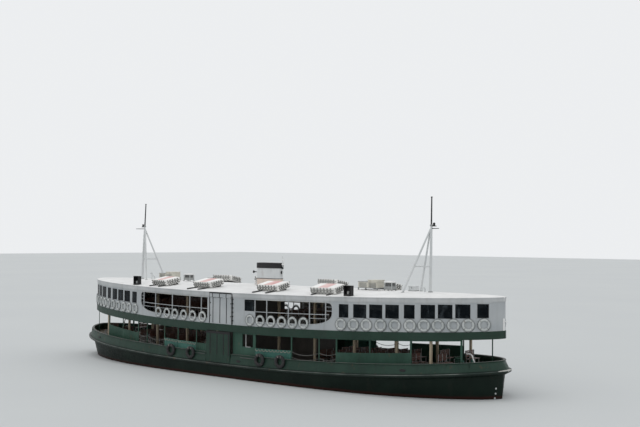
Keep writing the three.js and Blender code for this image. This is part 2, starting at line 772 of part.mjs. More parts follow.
// Helm platform of one end: a floor plate, a bulkhead with a doorway and a console.
function buildWheelhouse(end) {
  const { x, reach, consoleX, consoleLong, wheelX, wheelR } = HELM;
  const floor = upperDeckAt(reach);
  const hubZ = floor + 900;
  const wide = 2 * (halfBreadth(grown(UPPER, -WALL.thick, -WALL.tipThick), x + 60) - 15);
  const block = (x0, x1, y0, y1, z0, z1) => {
    const [a, b] = [end * x0, end * x1].sort((p, q) => p - q);
    return box(a, b, y0, y1, z0, z1);
  };
  const bulkhead = block(x, x + 50, -wide / 2, wide / 2, upperDeckAt(x + 50), underRoof(x));
  const doorway = block(x - 10, x + 60, -350, 350, floor + 60, floor + 1550);
  const windows = [-1700, 700].map((y) => block(x - 10, x + 60, y, y + 1000, floor + 700, floor + 1300));
  const plate = block(x, reach, -1500, 1500, floor, floor + 40);
  const console = block(consoleX, consoleX + consoleLong, -600, 600, floor + 20, floor + 950);
  const wheel = new THREE.TorusGeometry(wheelR, 25, 4, 12).rotateY(Math.PI / 2);
  const rim = solidOf(wheel.translate(end * wheelX, 0, hubZ));
  const spokes = [0, 1, 2].map((k) => {
    const dy = wheelR * Math.cos((k * Math.PI) / 3);
    const dz = wheelR * Math.sin((k * Math.PI) / 3);
    return bar([end * wheelX, -dy, hubZ - dz], [end * wheelX, dy, hubZ + dz], 16, 16, 4);
  });
  const hub = bar([end * (wheelX - 40), 0, hubZ], [end * (wheelX + 160), 0, hubZ], 60, 60, 8);
  return join([cut(bulkhead, [doorway, ...windows]), plate, console, rim, ...spokes, hub]);
}

function buildTrunk() {
  const [x, y] = [TRUNK.long / 2, TRUNK.wide / 2];
  return box(-x, x, -y, y, upperDeckAt(x), ROOF_FOOT.mid - SEAT_GAP);
}

// Roof

const ROOF_LINE = grown(UPPER, ROOF_OVERHANG);

// Height of the roof's top at a place.
function roofTop(x, y) {
  const share = Math.min(Math.abs(y) / halfBreadth(ROOF_LINE, x), 1);
  const narrow = halfBreadth(ROOF_LINE, x) / ROOF_LINE.half;
  return sheer(ROOF_EDGE, x) + ROOF_CAMBER * narrow * (1 - share ** 2);
}

function roofSlab(lift, footDrop) {
  const shares = [1, 0.75, 0.4, 0, -0.4, -0.75, -1];
  const top = shares.map((share) => [
    ROOF_LINE,
    share,
    (x) => roofTop(x, share * halfBreadth(ROOF_LINE, x)) + lift,
  ]);
  const foot = along(ROOF_FOOT, -footDrop);
  return shipLoft([...top, [ROOF_LINE, -1, foot], [ROOF_LINE, 1, foot]], HULL_STEPS);
}

// Cuts the foot of a piece to the roof that it stands on.
const ROOF_BLOCK = roofSlab(SEAT_GAP, 100);

function buildRoof() {
  const slab = roofSlab(0, 0);
  const boxes = [-1, 1].flatMap((end) => LIGHT_BOXES.map((row) => lightBox(end, row)));
  return join([slab, ...boxes]);
}

function lightBox(end, row) {
  const { long, wide } = LIGHT_BOX;
  const x = end * row.x;
  const y = row.side * LIGHT_BOX.y;
  const foot = roofTop(x, y);
  return box(x - long / 2, x + long / 2, y - wide / 2, y + wide / 2, foot - 60, foot + row.tall);
}

// A flat-sided funnel with round ends and a cap that stands a little proud.
function buildFunnel() {
  const low = roofTop(FUNNEL.long / 2, FUNNEL.wide / 2);
  const outline = (out) => {
    const r = FUNNEL.wide / 2 + out;
    const half = FUNNEL.long / 2 - FUNNEL.wide / 2;
    const shape = new THREE.Shape();
    shape.absarc(half, 0, r, -Math.PI / 2, Math.PI / 2, false);
    shape.absarc(-half, 0, r, Math.PI / 2, (3 * Math.PI) / 2, false);
    return shape;
  };
  const prism = (out, z0, z1) => {
    const settings = { depth: z1 - z0, bevelEnabled: false, curveSegments: 5 };
    return solidOf(new THREE.ExtrudeGeometry(outline(out), settings).translate(0, 0, z0));
  };
  const body = prism(0, low - 40, FUNNEL.top - 20).subtract(ROOF_BLOCK);
  const cap = prism(FUNNEL.capOut, FUNNEL.top - FUNNEL.cap, FUNNEL.top);
  const mouth = prism(-90, FUNNEL.top - 180, FUNNEL.top + 10);
  return join([join([body, cap]).subtract(mouth), ...funnelPole()]);
}

// A slim lamp pole at the funnel's fore end, held to it by two ties.
function funnelPole() {
  const { x, r, top, ties } = FUNNEL_POLE;
  const pole = bar([x, 0, ties[0] - 80], [x, 0, top], r, r, 6);
  const lamp = bar([x, 0, top - 330], [x, 0, top - 210], 60, 60, 8);
  const rods = ties.map((z) => bar([FUNNEL.long / 2 - 60, 0, z], [x, 0, z], 18, 18, 6));
  return [pole, lamp, ...rods];
}

// A mast with two raking legs, a short arm, and a lamp on a shelf. Its topmast is thinner.
function buildMast(end) {
  const name = end > 0 ? "fore" : "aft";
  const footX = MAST.foot[name];
  const foot = roofTop(footX, 0) - 60;
  const rake = MAST.lean[name] / (MAST.top - foot);
  const at = (z, out = 0) => [end * (footX + rake * (z - foot) + out), 0, z];
  const top = at(MAST.legTop, -MAST.legIn);
  const leg = (side) => {
    const from = [end * MAST.footX, side * MAST.footY, roofTop(MAST.footX, MAST.footY) - 60];
    return bar(from, top, 50, 45, 6);
  };
  const share = (MAST.brace - foot) / (MAST.legTop - foot);
  const legX = end * MAST.footX + (top[0] - end * MAST.footX) * share;
  const legY = MAST.footY * (1 - share);
  const { out, r, tall } = MAST.lamp;
  return join([
    bar(at(foot), at(MAST.head), MAST.r, MAST.headR),
    bar(at(MAST.head - 100), at(MAST.top), 45, 38),
    leg(1),
    leg(-1),
    bar([legX, -legY, MAST.brace], [legX, legY, MAST.brace], 35, 35, 6),
    bar([legX, 0, MAST.brace], at(MAST.brace), 35, 35, 6),
    bar(at(MAST.armZ), at(MAST.armZ, MAST.arm[name]), 25, 25, 6),
    bar(at(MAST.shelfZ), at(MAST.shelfZ, MAST.shelf), 25, 25, 6),
    bar(at(MAST.shelfZ, out), at(MAST.shelfZ + tall, out), r, r, 8),
  ]).subtract(ROOF_BLOCK);
}

// A buoyant raft with bevelled edges, laid along the roof's edge and tilted outwards.
function buildRaft(x, side) {
  const { long, wide, deep, tilt, skid, edge } = RAFT;
  const reach = wide / 2;
  const ring = (grow, z) => {
    const [a, b] = [long / 2 - grow, reach - grow];
    const [c, d] = [a - edge, b - edge];
    const corners = [[a, -d], [a, d], [c, b], [-c, b], [-a, d], [-a, -d], [-c, -b], [c, -b]];
    return corners.map(([px, py]) => new THREE.Vector3(px, py, z));
  };
  const block = loftZ([ring(edge, 0), ring(0, edge), ring(0, deep - edge), ring(edge, deep)]);
  const foot = roofTop(x, RAFT_Y + reach) + skid + reach * Math.sin(tilt);
  const slope = Math.atan((roofTop(x, RAFT_Y - reach) - roofTop(x, RAFT_Y + reach)) / wide);
  const rails = [-1, 1].map((s) => raftRail(x, side, s * long * 0.3));
  return join([
    block.transform(raftPlace(x, side, foot, tilt)),
    join(rails).transform(raftPlace(x, side, roofTop(x, RAFT_Y) + skid, slope)),
  ]).subtract(ROOF_BLOCK);
}

// From a raft's own frame to the ship's: leaning outwards, and turned with the roof's edge.
function raftPlace(x, side, z, lean) {
  const half = RAFT.long / 2;
  const [near, far] = [Math.abs(x) - half, Math.abs(x) + half];
  const narrowing = halfBreadth(ROOF_LINE, near) - halfBreadth(ROOF_LINE, far);
  const turn = Math.sign(x) * Math.atan(narrowing / RAFT.long);
  const place = new THREE.Matrix4()
    .makeTranslation(x, side * RAFT_Y, z)
    .multiply(new THREE.Matrix4().makeRotationZ(-side * turn))
    .multiply(new THREE.Matrix4().makeRotationX(-side * lean));
  return [...place.elements];
}

// One of a raft's two rails, which lie on the roof, with the chock that lifts the raft's inner side.
function raftRail(x, side, place) {
  const { wide, skid, rail, railOut, chock, deep } = RAFT;
  const edge = halfBreadth(ROOF_LINE, Math.abs(x) + Math.abs(place)) - 150;
  const out = Math.min(wide / 2 + railOut, edge - RAFT_Y);
  const inner = wide / 2 - 30;
  const [y0, y1] = [-side * inner, side * out].sort((a, b) => a - b);
  const [c0, c1] = [-side * inner, -side * (inner - chock)].sort((a, b) => a - b);
  const half = rail / 2;
  return join([
    box(place - half, place + half, y0, y1, -skid - 120, 40),
    box(place - half, place + half, c0, c1, -skid - 120, deep / 2),
  ]);
}

// A loft whose rings lie level, from the lowest up.
function loftZ(rings) {
  const turned = rings.map((ring) => ring.map((p) => new THREE.Vector3(p.x, p.z, -p.y)));
  return loft(turned).rotate([90, 0, 0]);
}

// A housing on four legs, with its fore half raised where it has a step.
function buildRoofGear({ x, y, long, wide, tall, raised, legs }) {
  const stand = 60;
  const foot = roofTop(x, y) + legs;
  const [x0, x1] = [x - long / 2, x + long / 2];
  const [y0, y1] = [y - wide / 2, y + wide / 2];
  const body = box(x0, x1, y0, y1, foot, foot + tall);
  const step = raised ? [box(x, x1, y0, y1, foot + tall - raised, foot + tall + raised)] : [];
  const feet = [x0, x1 - stand].flatMap((fx) =>
    [y0, y1 - stand].map((fy) => box(fx, fx + stand, fy, fy + stand, foot - legs - 120, foot + 20)),
  );
  return join([body, ...step, ...feet]).subtract(ROOF_BLOCK);
}

// Steering and drive

function buildRudder(end) {
  const at = (dx) => end * (RUDDER.x + dx);
  const half = RUDDER.thick / 2;
  const shape = [[RUDDER.back, 20], [0, half], [-RUDDER.fore * 0.7, half], [-RUDDER.fore, 25]];
  const section = [...shape, ...shape.map(([dx, y]) => [dx, -y]).reverse()];
  const ring = (z, trim) => section.map(([dx, y]) => new THREE.Vector3(at(dx > 0 ? dx - trim : dx), y, z));
  const blade = loftZ([ring(RUDDER.foot, 60), ring((RUDDER.foot + RUDDER.top) / 2, 0), ring(RUDDER.top, 90)]);
  const stock = bar(
    [at(0), 0, SOLE.z1 + SEAT_GAP],
    [at(0), 0, RUDDER.top + 60 - SEAT_GAP],
    RUDDER.stock,
    RUDDER.stock,
    12,
  );
  return join([blade, stock]);
}

function buildPropeller(end) {
  const { hub, r, blades, bossIn, bossOut } = PROPELLER;
  const profile = [[0, -bossIn], [hub * 0.8, -bossIn], [hub, -60], [hub, 60], [hub * 0.6, 150], [0, bossOut]];
  const boss = new THREE.LatheGeometry(profile.map(([pr, z]) => new THREE.Vector2(pr, z)), 12);
  const parts = [solidOf(boss)];
  for (let i = 0; i < blades; i++) parts.push(blade(hub, r, (2 * Math.PI * i) / blades));
  const turned = join(parts).rotate([0, 0, -90 * end]);
  return turned.translate([end * PROPELLER.x, 0, PROPELLER.z]);
}

// One blade in a frame whose Y axis is the shaft. Pitch is in degrees.
function blade(hub, r, angle) {
  const table = [
    { r: hub * 0.7, chord: 190, pitch: 60, thick: 45 },
    { r: r * 0.5, chord: 330, pitch: 40, thick: 30 },
    { r: r * 0.8, chord: 330, pitch: 28, thick: 20 },
    { r: r * 0.98, chord: 170, pitch: 23, thick: 12 },
  ];
  const rings = table.map((row) => {
    const a = THREE.MathUtils.degToRad(row.pitch);
    const c = row.chord / 2;
    const t = row.thick / 2;
    return [[-c, -t / 3], [0, -t], [c, -t / 3], [c, t / 3], [0, t], [-c, t / 3]].map(
      ([u, w]) =>
        new THREE.Vector3(row.r, u * Math.sin(a) + w * Math.cos(a), u * Math.cos(a) - w * Math.sin(a)),
    );
  });
  return loft(rings).rotate([0, THREE.MathUtils.radToDeg(angle), 0]);
}

// Assembly

const ferry = new THREE.Group();
ferry.name = "ferry";

function add(name, solid, material) {
  const mesh = new THREE.Mesh(geometryOf(solid), material);
  mesh.name = name;
  ferry.add(mesh);
}

const ENDS = [["fore", 1], ["aft", -1]];
const SIDES = [["starboard", -1], ["port", 1]];

add("hull", buildHull(), DARK_GREEN);
add("belting", buildBelting(), GREEN);
add("engine_casing", buildCasing(), CREAM);
add("upper_deck", buildUpperDeck(), GREEN);
add("funnel_trunk", buildTrunk(), CREAM);
add("roof", buildRoof(), ROOF_WHITE);
add("funnel", buildFunnel(), WHITE);
ROOF_GEAR.forEach((gear) => add(gear.name, buildRoofGear(gear), GREY));

for (const [endName, end] of ENDS) {
  add("bulwark_" + endName, buildBulwark(end), GREEN);
  add("upper_wall_" + endName, buildEndWall(end), WHITE);
  add("wheelhouse_" + endName, buildWheelhouse(end), CREAM);
  add("mooring_gear_" + endName, buildMooringGear(end), GREEN);
  add("mast_" + endName, buildMast(end), WHITE);
  add("rudder_" + endName, buildRudder(end), DARK_GREEN);
  add("propeller_" + endName, buildPropeller(end), BRONZE);
  for (const [sideName, side] of SIDES) {
    const place = endName + "_" + sideName;
    add("side_frame_" + place, buildSideFrame(end, side), GREEN);
    add("benches_lower_" + place, buildBenches(end, side, deckAt, LOWER_ROWS), BROWN);
    add("benches_upper_" + place, buildBenches(end, side, upperDeckAt, UPPER_ROWS), BROWN);
  }
}

for (const [sideName, side] of SIDES) {
  add("girder_lower_" + sideName, buildGirder(side, deckAt, underCeiling, PILLAR_XS), CREAM);
  add("girder_upper_" + sideName, buildGirder(side, upperDeckAt, underRoof, PILLAR_XS.slice(0, 4)), CREAM);
  add("gangway_lower_" + sideName, buildGangway(LOWER_GANGWAY, side, deckAt), GREEN);
  add("gangway_upper_" + sideName, buildGangway(UPPER_GANGWAY, side, upperDeckAt), WHITE);
  RAFT_XS.forEach((x, i) => add("raft_" + sideName + "_" + (i + 1), buildRaft(x, side), WHITE));
}

export default ferry;
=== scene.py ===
from math import asin, atan2, copysign, cos, pi, radians, sin

import bmesh
import bpy
from mathutils import Matrix, Vector


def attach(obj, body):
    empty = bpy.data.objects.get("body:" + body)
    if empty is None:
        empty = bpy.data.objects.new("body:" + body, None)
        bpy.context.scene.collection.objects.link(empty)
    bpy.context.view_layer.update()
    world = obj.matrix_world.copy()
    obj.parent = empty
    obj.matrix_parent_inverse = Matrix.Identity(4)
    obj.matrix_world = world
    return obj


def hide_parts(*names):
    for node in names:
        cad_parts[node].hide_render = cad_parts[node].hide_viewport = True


# A two-deck, double-ended harbour passenger ferry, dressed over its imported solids.
# Metres, in the frame of the solids: +X fore, +Y to port, +Z up, the waterline at z = 0.
# An end is 1 for fore or -1 for aft. A side is 1 for port or -1 for starboard.

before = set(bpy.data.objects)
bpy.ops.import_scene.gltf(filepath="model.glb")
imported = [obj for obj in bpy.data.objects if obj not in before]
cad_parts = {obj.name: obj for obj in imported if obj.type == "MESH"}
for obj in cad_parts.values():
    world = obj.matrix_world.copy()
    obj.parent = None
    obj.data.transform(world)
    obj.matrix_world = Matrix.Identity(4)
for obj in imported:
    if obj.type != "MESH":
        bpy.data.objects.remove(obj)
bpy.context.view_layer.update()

# Driving dimensions, as in the part's source

SHEER_REACH = 16.9
THIN_END = 0.04


class Outline:
    """Seen from above: half breadth = half * (1 - (|x| / reach) ** n) ** (1 / m)."""

    def __init__(self, half, reach, n, m):
        self.half, self.reach, self.n, self.m = half, reach, n, m

    def grown(self, out, tip_out=None):
        tip = out if tip_out is None else tip_out
        return Outline(self.half + out, self.reach + tip, self.n, self.m)

    def breadth(self, x):
        share = min(abs(x) / self.reach, 1)
        return max(self.half * (1 - share**self.n) ** (1 / self.m), THIN_END)

    def at(self, angle):
        """Its point at an angle: 0 amidships to port, a quarter turn at the fore end."""
        s, c = sin(angle), cos(angle)
        x = self.reach * copysign(abs(s) ** (2 / self.n), s)
        return x, copysign(self.half * abs(c) ** (2 / self.m), c)

    def angle(self, x):
        return asin(min(abs(x) / self.reach, 1) ** (self.n / 2))

    def turn(self, x):
        """How far the side has turned inwards at x, in radians."""
        step = 0.05
        return atan2(self.breadth(x - step) - self.breadth(x + step), 2 * step)


SHELL = Outline(4.33, 16.78, 4.09, 1.56)
UPPER = Outline(4.225, 16.59, 2.034, 1.795)

# Heights amidships, with the rise of each line towards the ends
DECK = (0.87, 0.68)
BELT_TOP = (0.86, 0.68)
BELT_FOOT = (0.69, 0.68)
CAP_TOP = (1.44, 0.58)
PANEL_TOP = (1.86, 0.72)
FASCIA_FOOT = (2.73, 0.4)
CEILING = (2.98, 0.4)
UPPER_DECK = (3.14, 0.4)
RAIL_TOP = (4.01, 0.4)
WINDOW_SILL = (3.86, 0.37)
WINDOW_HEAD = (4.59, 0.37)
ROOF_FOOT = (4.8, 0.25)
ROOF_EDGE = (5.02, 0.25)
ROOF_CAMBER = 0.28

# The hull below the belting: where it steps in under it, then from the waterline down
UNDER_BELT = Outline(4.3, 16.57, 3.85, 1.5)
STEP_DROP = 0.12
# Underwater lines: z, half, reach, n, m
HULL_LEVELS = [
    (0, 4.18, 16.48, 3.4, 1.4),
    (-0.3, 4.06, 16.25, 3, 1.32),
    (-0.5, 3.85, 13.7, 2.4, 1.25),
    (-1.15, 2.95, 13.35, 2.1, 1.15),
    (-1.7, 1.65, 12.95, 2, 1.1),
    (-2.08, 0.48, 12.55, 2, 1.1),
    (-2.23, 0.11, 12.35, 8, 1),
]
# Under each end: the sole piece, the rudder's trunk and the propeller's stern tube
SOLE = {"x0": 12.2, "x1": 15, "half": 0.08, "low": -2.23, "high": -2.06}
TRUNK = {"x": 14.8, "low": -0.5, "r": 0.15}
TUBE = {"x0": 12.8, "x1": 13.7305, "z": -1.3, "r0": 0.15, "r1": 0.11}
# White marks on the hull near each stem: x, z
DRAFT_MARKS = [(16.38, 0.56), (16.35, 0.3), (16.31, 0.06)]

DECK_EDGE = UPPER.grown(0.04)
FRAME_LINE = UPPER.grown(-0.075, -0.09)
ROOF_LINE = UPPER.grown(0.05)
FINE_STEPS = 96
PLANKS_OVER, PLANKS_UNDER = 0.003, -0.004

BELT = {"out": 0.12, "tip_out": 0.13, "tip_from": 16.66}
BULWARK = {"lean": 0.08, "tip_lean": 0.23, "thick": 0.08, "plate": 0.045, "cap": 0.05, "cap_out": 0.04}
# How much more the hull's lines draw in at their tips than at their sides
TIP_SHARE = 1.4
STANCHION = {"count": 16, "last": 15.6, "reach": 0.22, "half": 0.012}
SCUPPER = {"xs": {1: [1.58, 12.6], -1: [12.6]}, "lift": 0.19, "half_long": 0.17, "half_tall": 0.07}
GUIDE_BAR = {1: (1.72, 3.05), -1: (1.25, 2.1)}
GUIDE_BAR_Z = 1.3
GANGWAY_GAP = 0.025
LOWER_GANGWAY = {"x0": -1.15, "x1": 0.88, "y": 4.3, "thick": 0.05, "top": 2.7}
UPPER_GANGWAY = {"x0": -0.9, "x1": 0.9, "y": 4.235, "thick": 0.05, "top": 4.69}

# How each gangway's leaf is made up: ribs as x and width. The ribs are black as painted shade in the gaps
# between the leaf's boards, and the lower leaf's black header is a painted shadow across its top
LOWER_LEAF = {
    "paint": "bulwark",
    "ribs": [(-0.79, 0.06), (-0.21, 0.06), (0.34, 0.06), (0.76, 0.1)],
    "rib_foot": 0.45,
    "header": 0.13,
    "slot": "green_paint",
}
UPPER_LEAF = {
    # The upper leaf takes the walls' darkened white, with its painted shade
    "paint": "wall",
    "ribs": [(-0.64, 0.05), (-0.05, 0.05), (0.5, 0.05)],
    "rib_foot": 0.02,
    "header": 0,
    "slot": "white_paint",
}

# The fixed frame round an upper gangway: a panel on the roof's edge above it, a post each side,
# and steps beside the fore post
HOOD = {"low": 4.71, "high": 4.93, "bar": 0.07, "y": 4.285, "post": 0.06, "gap": 0.03}
HOOD_STEPS = {"count": 6, "first": 0.2, "pitch": 0.25, "out": 0.14, "tall": 0.07}

# Tyre fenders on each side
TYRE = {"out": 0.38, "hole": 0.19, "thick": 0.2, "lift": 0.395, "sunk": 0.06, "treads": 22, "tread": 0.012}
TYRE_XS = [-4.26, -2.48, 3.3, 4.87]

# Upper windows of one end: near edge and far edge along the ship
END_WINDOWS = [
    (8.49, 9.08),
    (9.36, 10.14),
    (10.3, 11.05),
    (11.21, 11.96),
    (12.22, 12.79),
    (13.09, 13.82),
    (13.95, 14.65),
    (14.77, 15.45),
    (15.73, 16.19),
]
WINDOW_BAR = 0.018
WINDOW_STEPS = 5
# A pane: how far behind the wall's face, and how thick
PANE = (-0.022, 0.006)

# Lower side walls: start, end, kind of opening, paint of what is under it
SIDE_OPENINGS = {
    1: [
        (1.71, 2.54, "window", "green"),
        (2.74, 5.31, "panel", "teal"),
        (5.39, 7.17, "floor", "green"),
        (7.23, 8.26, "floor", "green"),
        (8.34, 10.27, "panel", "green"),
        (10.33, 12.51, "panel", "green"),
        (12.59, 14.98, "floor", "green"),
    ],
    -1: [
        (1.31, 2.19, "panel", "green"),
        (2.25, 3.95, "panel", "teal"),
        (4.01, 5.31, "panel", "teal"),
        (5.39, 7.27, "floor", "green"),
        (7.33, 8.31, "floor", "green"),
        (8.39, 10.37, "panel", "green"),
        (10.43, 12.56, "panel", "green"),
        (12.64, 14.98, "floor", "green"),
    ],
}
SIDE_START = {1: 0.96, -1: 1.23}
SIDE_LAST = 15.06
SIDE_THICK = 0.04
PORTHOLE = (1.93, 2.65)

# Open bay of the upper side at each end: its start, the half wall's end, the sweep's start, its end
BAY = {1: (1.92, 2.75, 6.45, 8.06), -1: (1.16, 1.16, 6.35, 7.96)}
BAY_POSTS = {1: [3.61, 5.16, 6.6, 7.65], -1: [1.73, 2.8, 4.51, 6.29, 7.63]}
BAY_KICK = 0.29
BAY_HEAD = 0.13
BAY_RISE = 0.06
BAY_CORNER = 0.33
BAY_SWEEP_TOP = 0.96
BAY_RUNGS = [1.05, 1.27, 1.49]
RAIL_INSET = 0.025

LIFE_RING = {"out": 0.32, "hole": 0.195, "half_thick": 0.055, "lift": 0.345, "proud": 0.035, "band": 0.09}
END_RING_XS = [8.64, 9.4, 10.16, 10.97, 11.76, 12.56, 13.28, 13.98, 14.71, 15.37, 16.02]
BAY_RING_XS = {1: [2.39, 3.17, 3.96, 4.74, 5.49, 6.24], -1: [1.57, 2.47, 3.31, 4.17, 4.99, 5.89]}

# Barrier chains: from, to, height above the deck at the posts, sag
CHAINS = [
    (5.35, 7.21, 0.94, 0.17),
    (5.35, 7.21, 0.64, 0.13),
    (7.21, 8.3, 0.94, 0.11),
    (7.21, 8.3, 0.64, 0.09),
]
LINK = {"long": 0.062, "half_wide": 0.016, "wire": 0.0085, "pitch": 0.74}

# Benches, and their rows on each deck as x, near end and far end across the ship
BENCH = {"seat": 0.43, "deep": 0.43, "back": 0.86, "runner": 0.02, "runner_y": (1.34, 1.46)}
LOWER_ROWS = [(5.7 + 0.95 * i, 0.35, 1.75) for i in range(6)] + [(12.25, 0.9, 1.9), (13.9, 0.9, 1.8)]
UPPER_ROWS = [(2.6 + 0.95 * i, 0.45, 1.75) for i in range(9)]

FUNNEL = {"long": 1.95, "wide": 0.76, "top": 6.7, "cap": 0.33, "cap_out": 0.025, "line": 5.73, "mouth": 0.18}
# Uptakes in the funnel's mouth: x, radius
UPTAKES = [(0.45, 0.14), (-0.05, 0.11), (-0.5, 0.14)]
FUNNEL_POLE = {"x": 1.06, "r": 0.022, "top": 7.13, "ties": [5.9, 6.35]}
# Lamps of the pole: how far below its top, paint
POLE_LAMPS = [(0.33, "roof"), (0.56, "roof"), (0.8, "glass")]
HORN_Z = 6.12
MAST = {
    "foot": {1: 12.03, -1: 12.26},
    "lean": {1: 0.06, -1: -0.3},
    "r": 0.085,
    "head_r": 0.062,
    "head": 9.05,
    "top": 10.59,
    "leg_top": 8.78,
    "leg_in": 0.06,
    "brace": 6.74,
    "foot_x": 10.79,
    "foot_y": 0.87,
    "arm": {1: 0.5, -1: 0.93},
    "arm_z": 8.83,
    "shelf": 0.33,
    "shelf_z": 8.96,
    "lamp_out": 0.18,
    "lamp_tall": 0.2,
}
RAFT = {
    "long": 1.67,
    "wide": 1.11,
    "deep": 0.36,
    "tilt": 0.19,
    "skid": 0.02,
    "edge": 0.06,
    "slats": 9,
    "band": 0.19,
    "rail": 0.06,
    "rail_out": 0.87,
    "chock": 0.11,
}
RAFT_XS = [-6.58, -2.63, 2.84, 6.98]
RAFT_Y = 2.7
# Grab lines of a raft: how far below its top, and how far they hang
BECKETS = [(0.05, 0.12), (0.19, 0.12)]
LIGHT_BOX = {"y": 3.23, "long": 0.5, "wide": 0.25, "wall": 0.025, "sill": 0.1}

# The side lights' boxes: side, x, height, paint of the back
LIGHT_BOXES = [(-1, 8.88, 0.56, "black"), (1, 8.7, 0.34, "white")]

# Gear on the roof: name, x, y, long, wide, tall, legs
ROOF_VENTS = [
    ("roof_vent_fore", 7.96, 0, 1.4, 0.75, 0.38, 0.1),
    ("roof_vent_aft", -9.38, 0, 1.4, 0.75, 0.38, 0.1),
]
VENT_RAISED = 0.1
ROOF_FANS = [
    ("roof_fan_fore", 9.29, 0, 0.56, 0.42, 0.44, 0.08),
    ("roof_fan_aft", -7.44, 0, 0.64, 0.42, 0.42, 0.08),
]
ROOF_LOCKER = ("roof_locker", 10.45, 0.6, 0.45, 0.3, 0.26, 0.02)
# Goose-neck pipes on the roof: x, y, rise, bend, radius
ROOF_PIPES = [(11.4, 0.4, 0.1, 0.13, 0.035), (11.75, 0.45, 0.36, 0.06, 0.028)]
ROOF_SEAM_PITCH = 1.86
DECK_BEAM_PITCH = 0.93

MOORING = {
    "x": 14.1,
    "long": 1.3,
    "wide": 1.5,
    "bed": 0.04,
    "bollard_x": 0.3,
    "bollard_y": 0.52,
    "capstan_x": -0.33,
}
DECK_LAMPS = [(14.4, 1.6), (15.2, 0.9)]
# A hooked air pipe on each end deck: its foot, and its path as steps inwards and up
HOOKED_PIPE = (15.45, 0.95)
HOOK = [(0, 0), (0, 0.4), (0.1, 0.62), (0.16, 0.78), (0.24, 0.84), (0.36, 0.85), (0.5, 0.84)]

# Turned fittings: radius, z
MARK = [(0.01, 0.008), (0.045, 0.008), (0.05, 0), (0.05, -0.03)]
NOSE_CAP = [(0.06, 0), (0.055, 0.02), (0.03, 0.028), (0.004, 0.03)]
SIDE_LAMP = [(0.02, 0), (0.07, 0.01), (0.07, 0.13), (0.05, 0.17), (0.02, 0.18)]
BULB = [(0.03, 0), (0.058, 0.01), (0.058, 0.095), (0.03, 0.115), (0.025, 0.12)]
DISH = [(0.02, 0), (0.1, 0.02), (0.1, 0.05), (0.04, 0.08)]
HORN = [(0.02, 0), (0.03, 0.12), (0.05, 0.2), (0.09, 0.26), (0.08, 0.262), (0.01, 0.2)]
COWL = [(0.01, 0), (0.05, 0.01), (0.085, 0.06), (0.085, 0.09), (0.06, 0.12), (0.01, 0.14)]
POLE_CAP = [(0.046, 0), (0.052, 0.01), (0.052, 0.04), (0.03, 0.055), (0.01, 0.06)]
LEG_PLATE = [(0.01, 0), (0.11, 0), (0.11, 0.02), (0.05, 0.03)]
MAST_COLLAR = [(0.06, 0), (0.085, 0.01), (0.085, 0.07), (0.06, 0.08)]
MAST_BASE = [(0.1, 0), (0.14, 0), (0.14, 0.03), (0.09, 0.06)]
CAPSTAN = [(0.21, 0), (0.21, 0.03), (0.18, 0.07), (0.13, 0.13), (0.108, 0.2), (0.1, 0.3), (0.105, 0.38)]
CAPSTAN += [(0.14, 0.43), (0.19, 0.47), (0.19, 0.53), (0.16, 0.555), (0.02, 0.56)]
BOLLARD = [(0.12, 0), (0.12, 0.02), (0.09, 0.04), (0.088, 0.38)]
BOLLARD += [(0.113, 0.4), (0.113, 0.43), (0.09, 0.448), (0.01, 0.45)]
DECK_LAMP = [(0.03, 0.002), (0.05, -0.02), (0.09, -0.05), (0.1, -0.1), (0.07, -0.13), (0.02, -0.14)]
FLANGE = [(0.02, 0), (0.09, 0), (0.09, 0.02), (0.04, 0.03)]

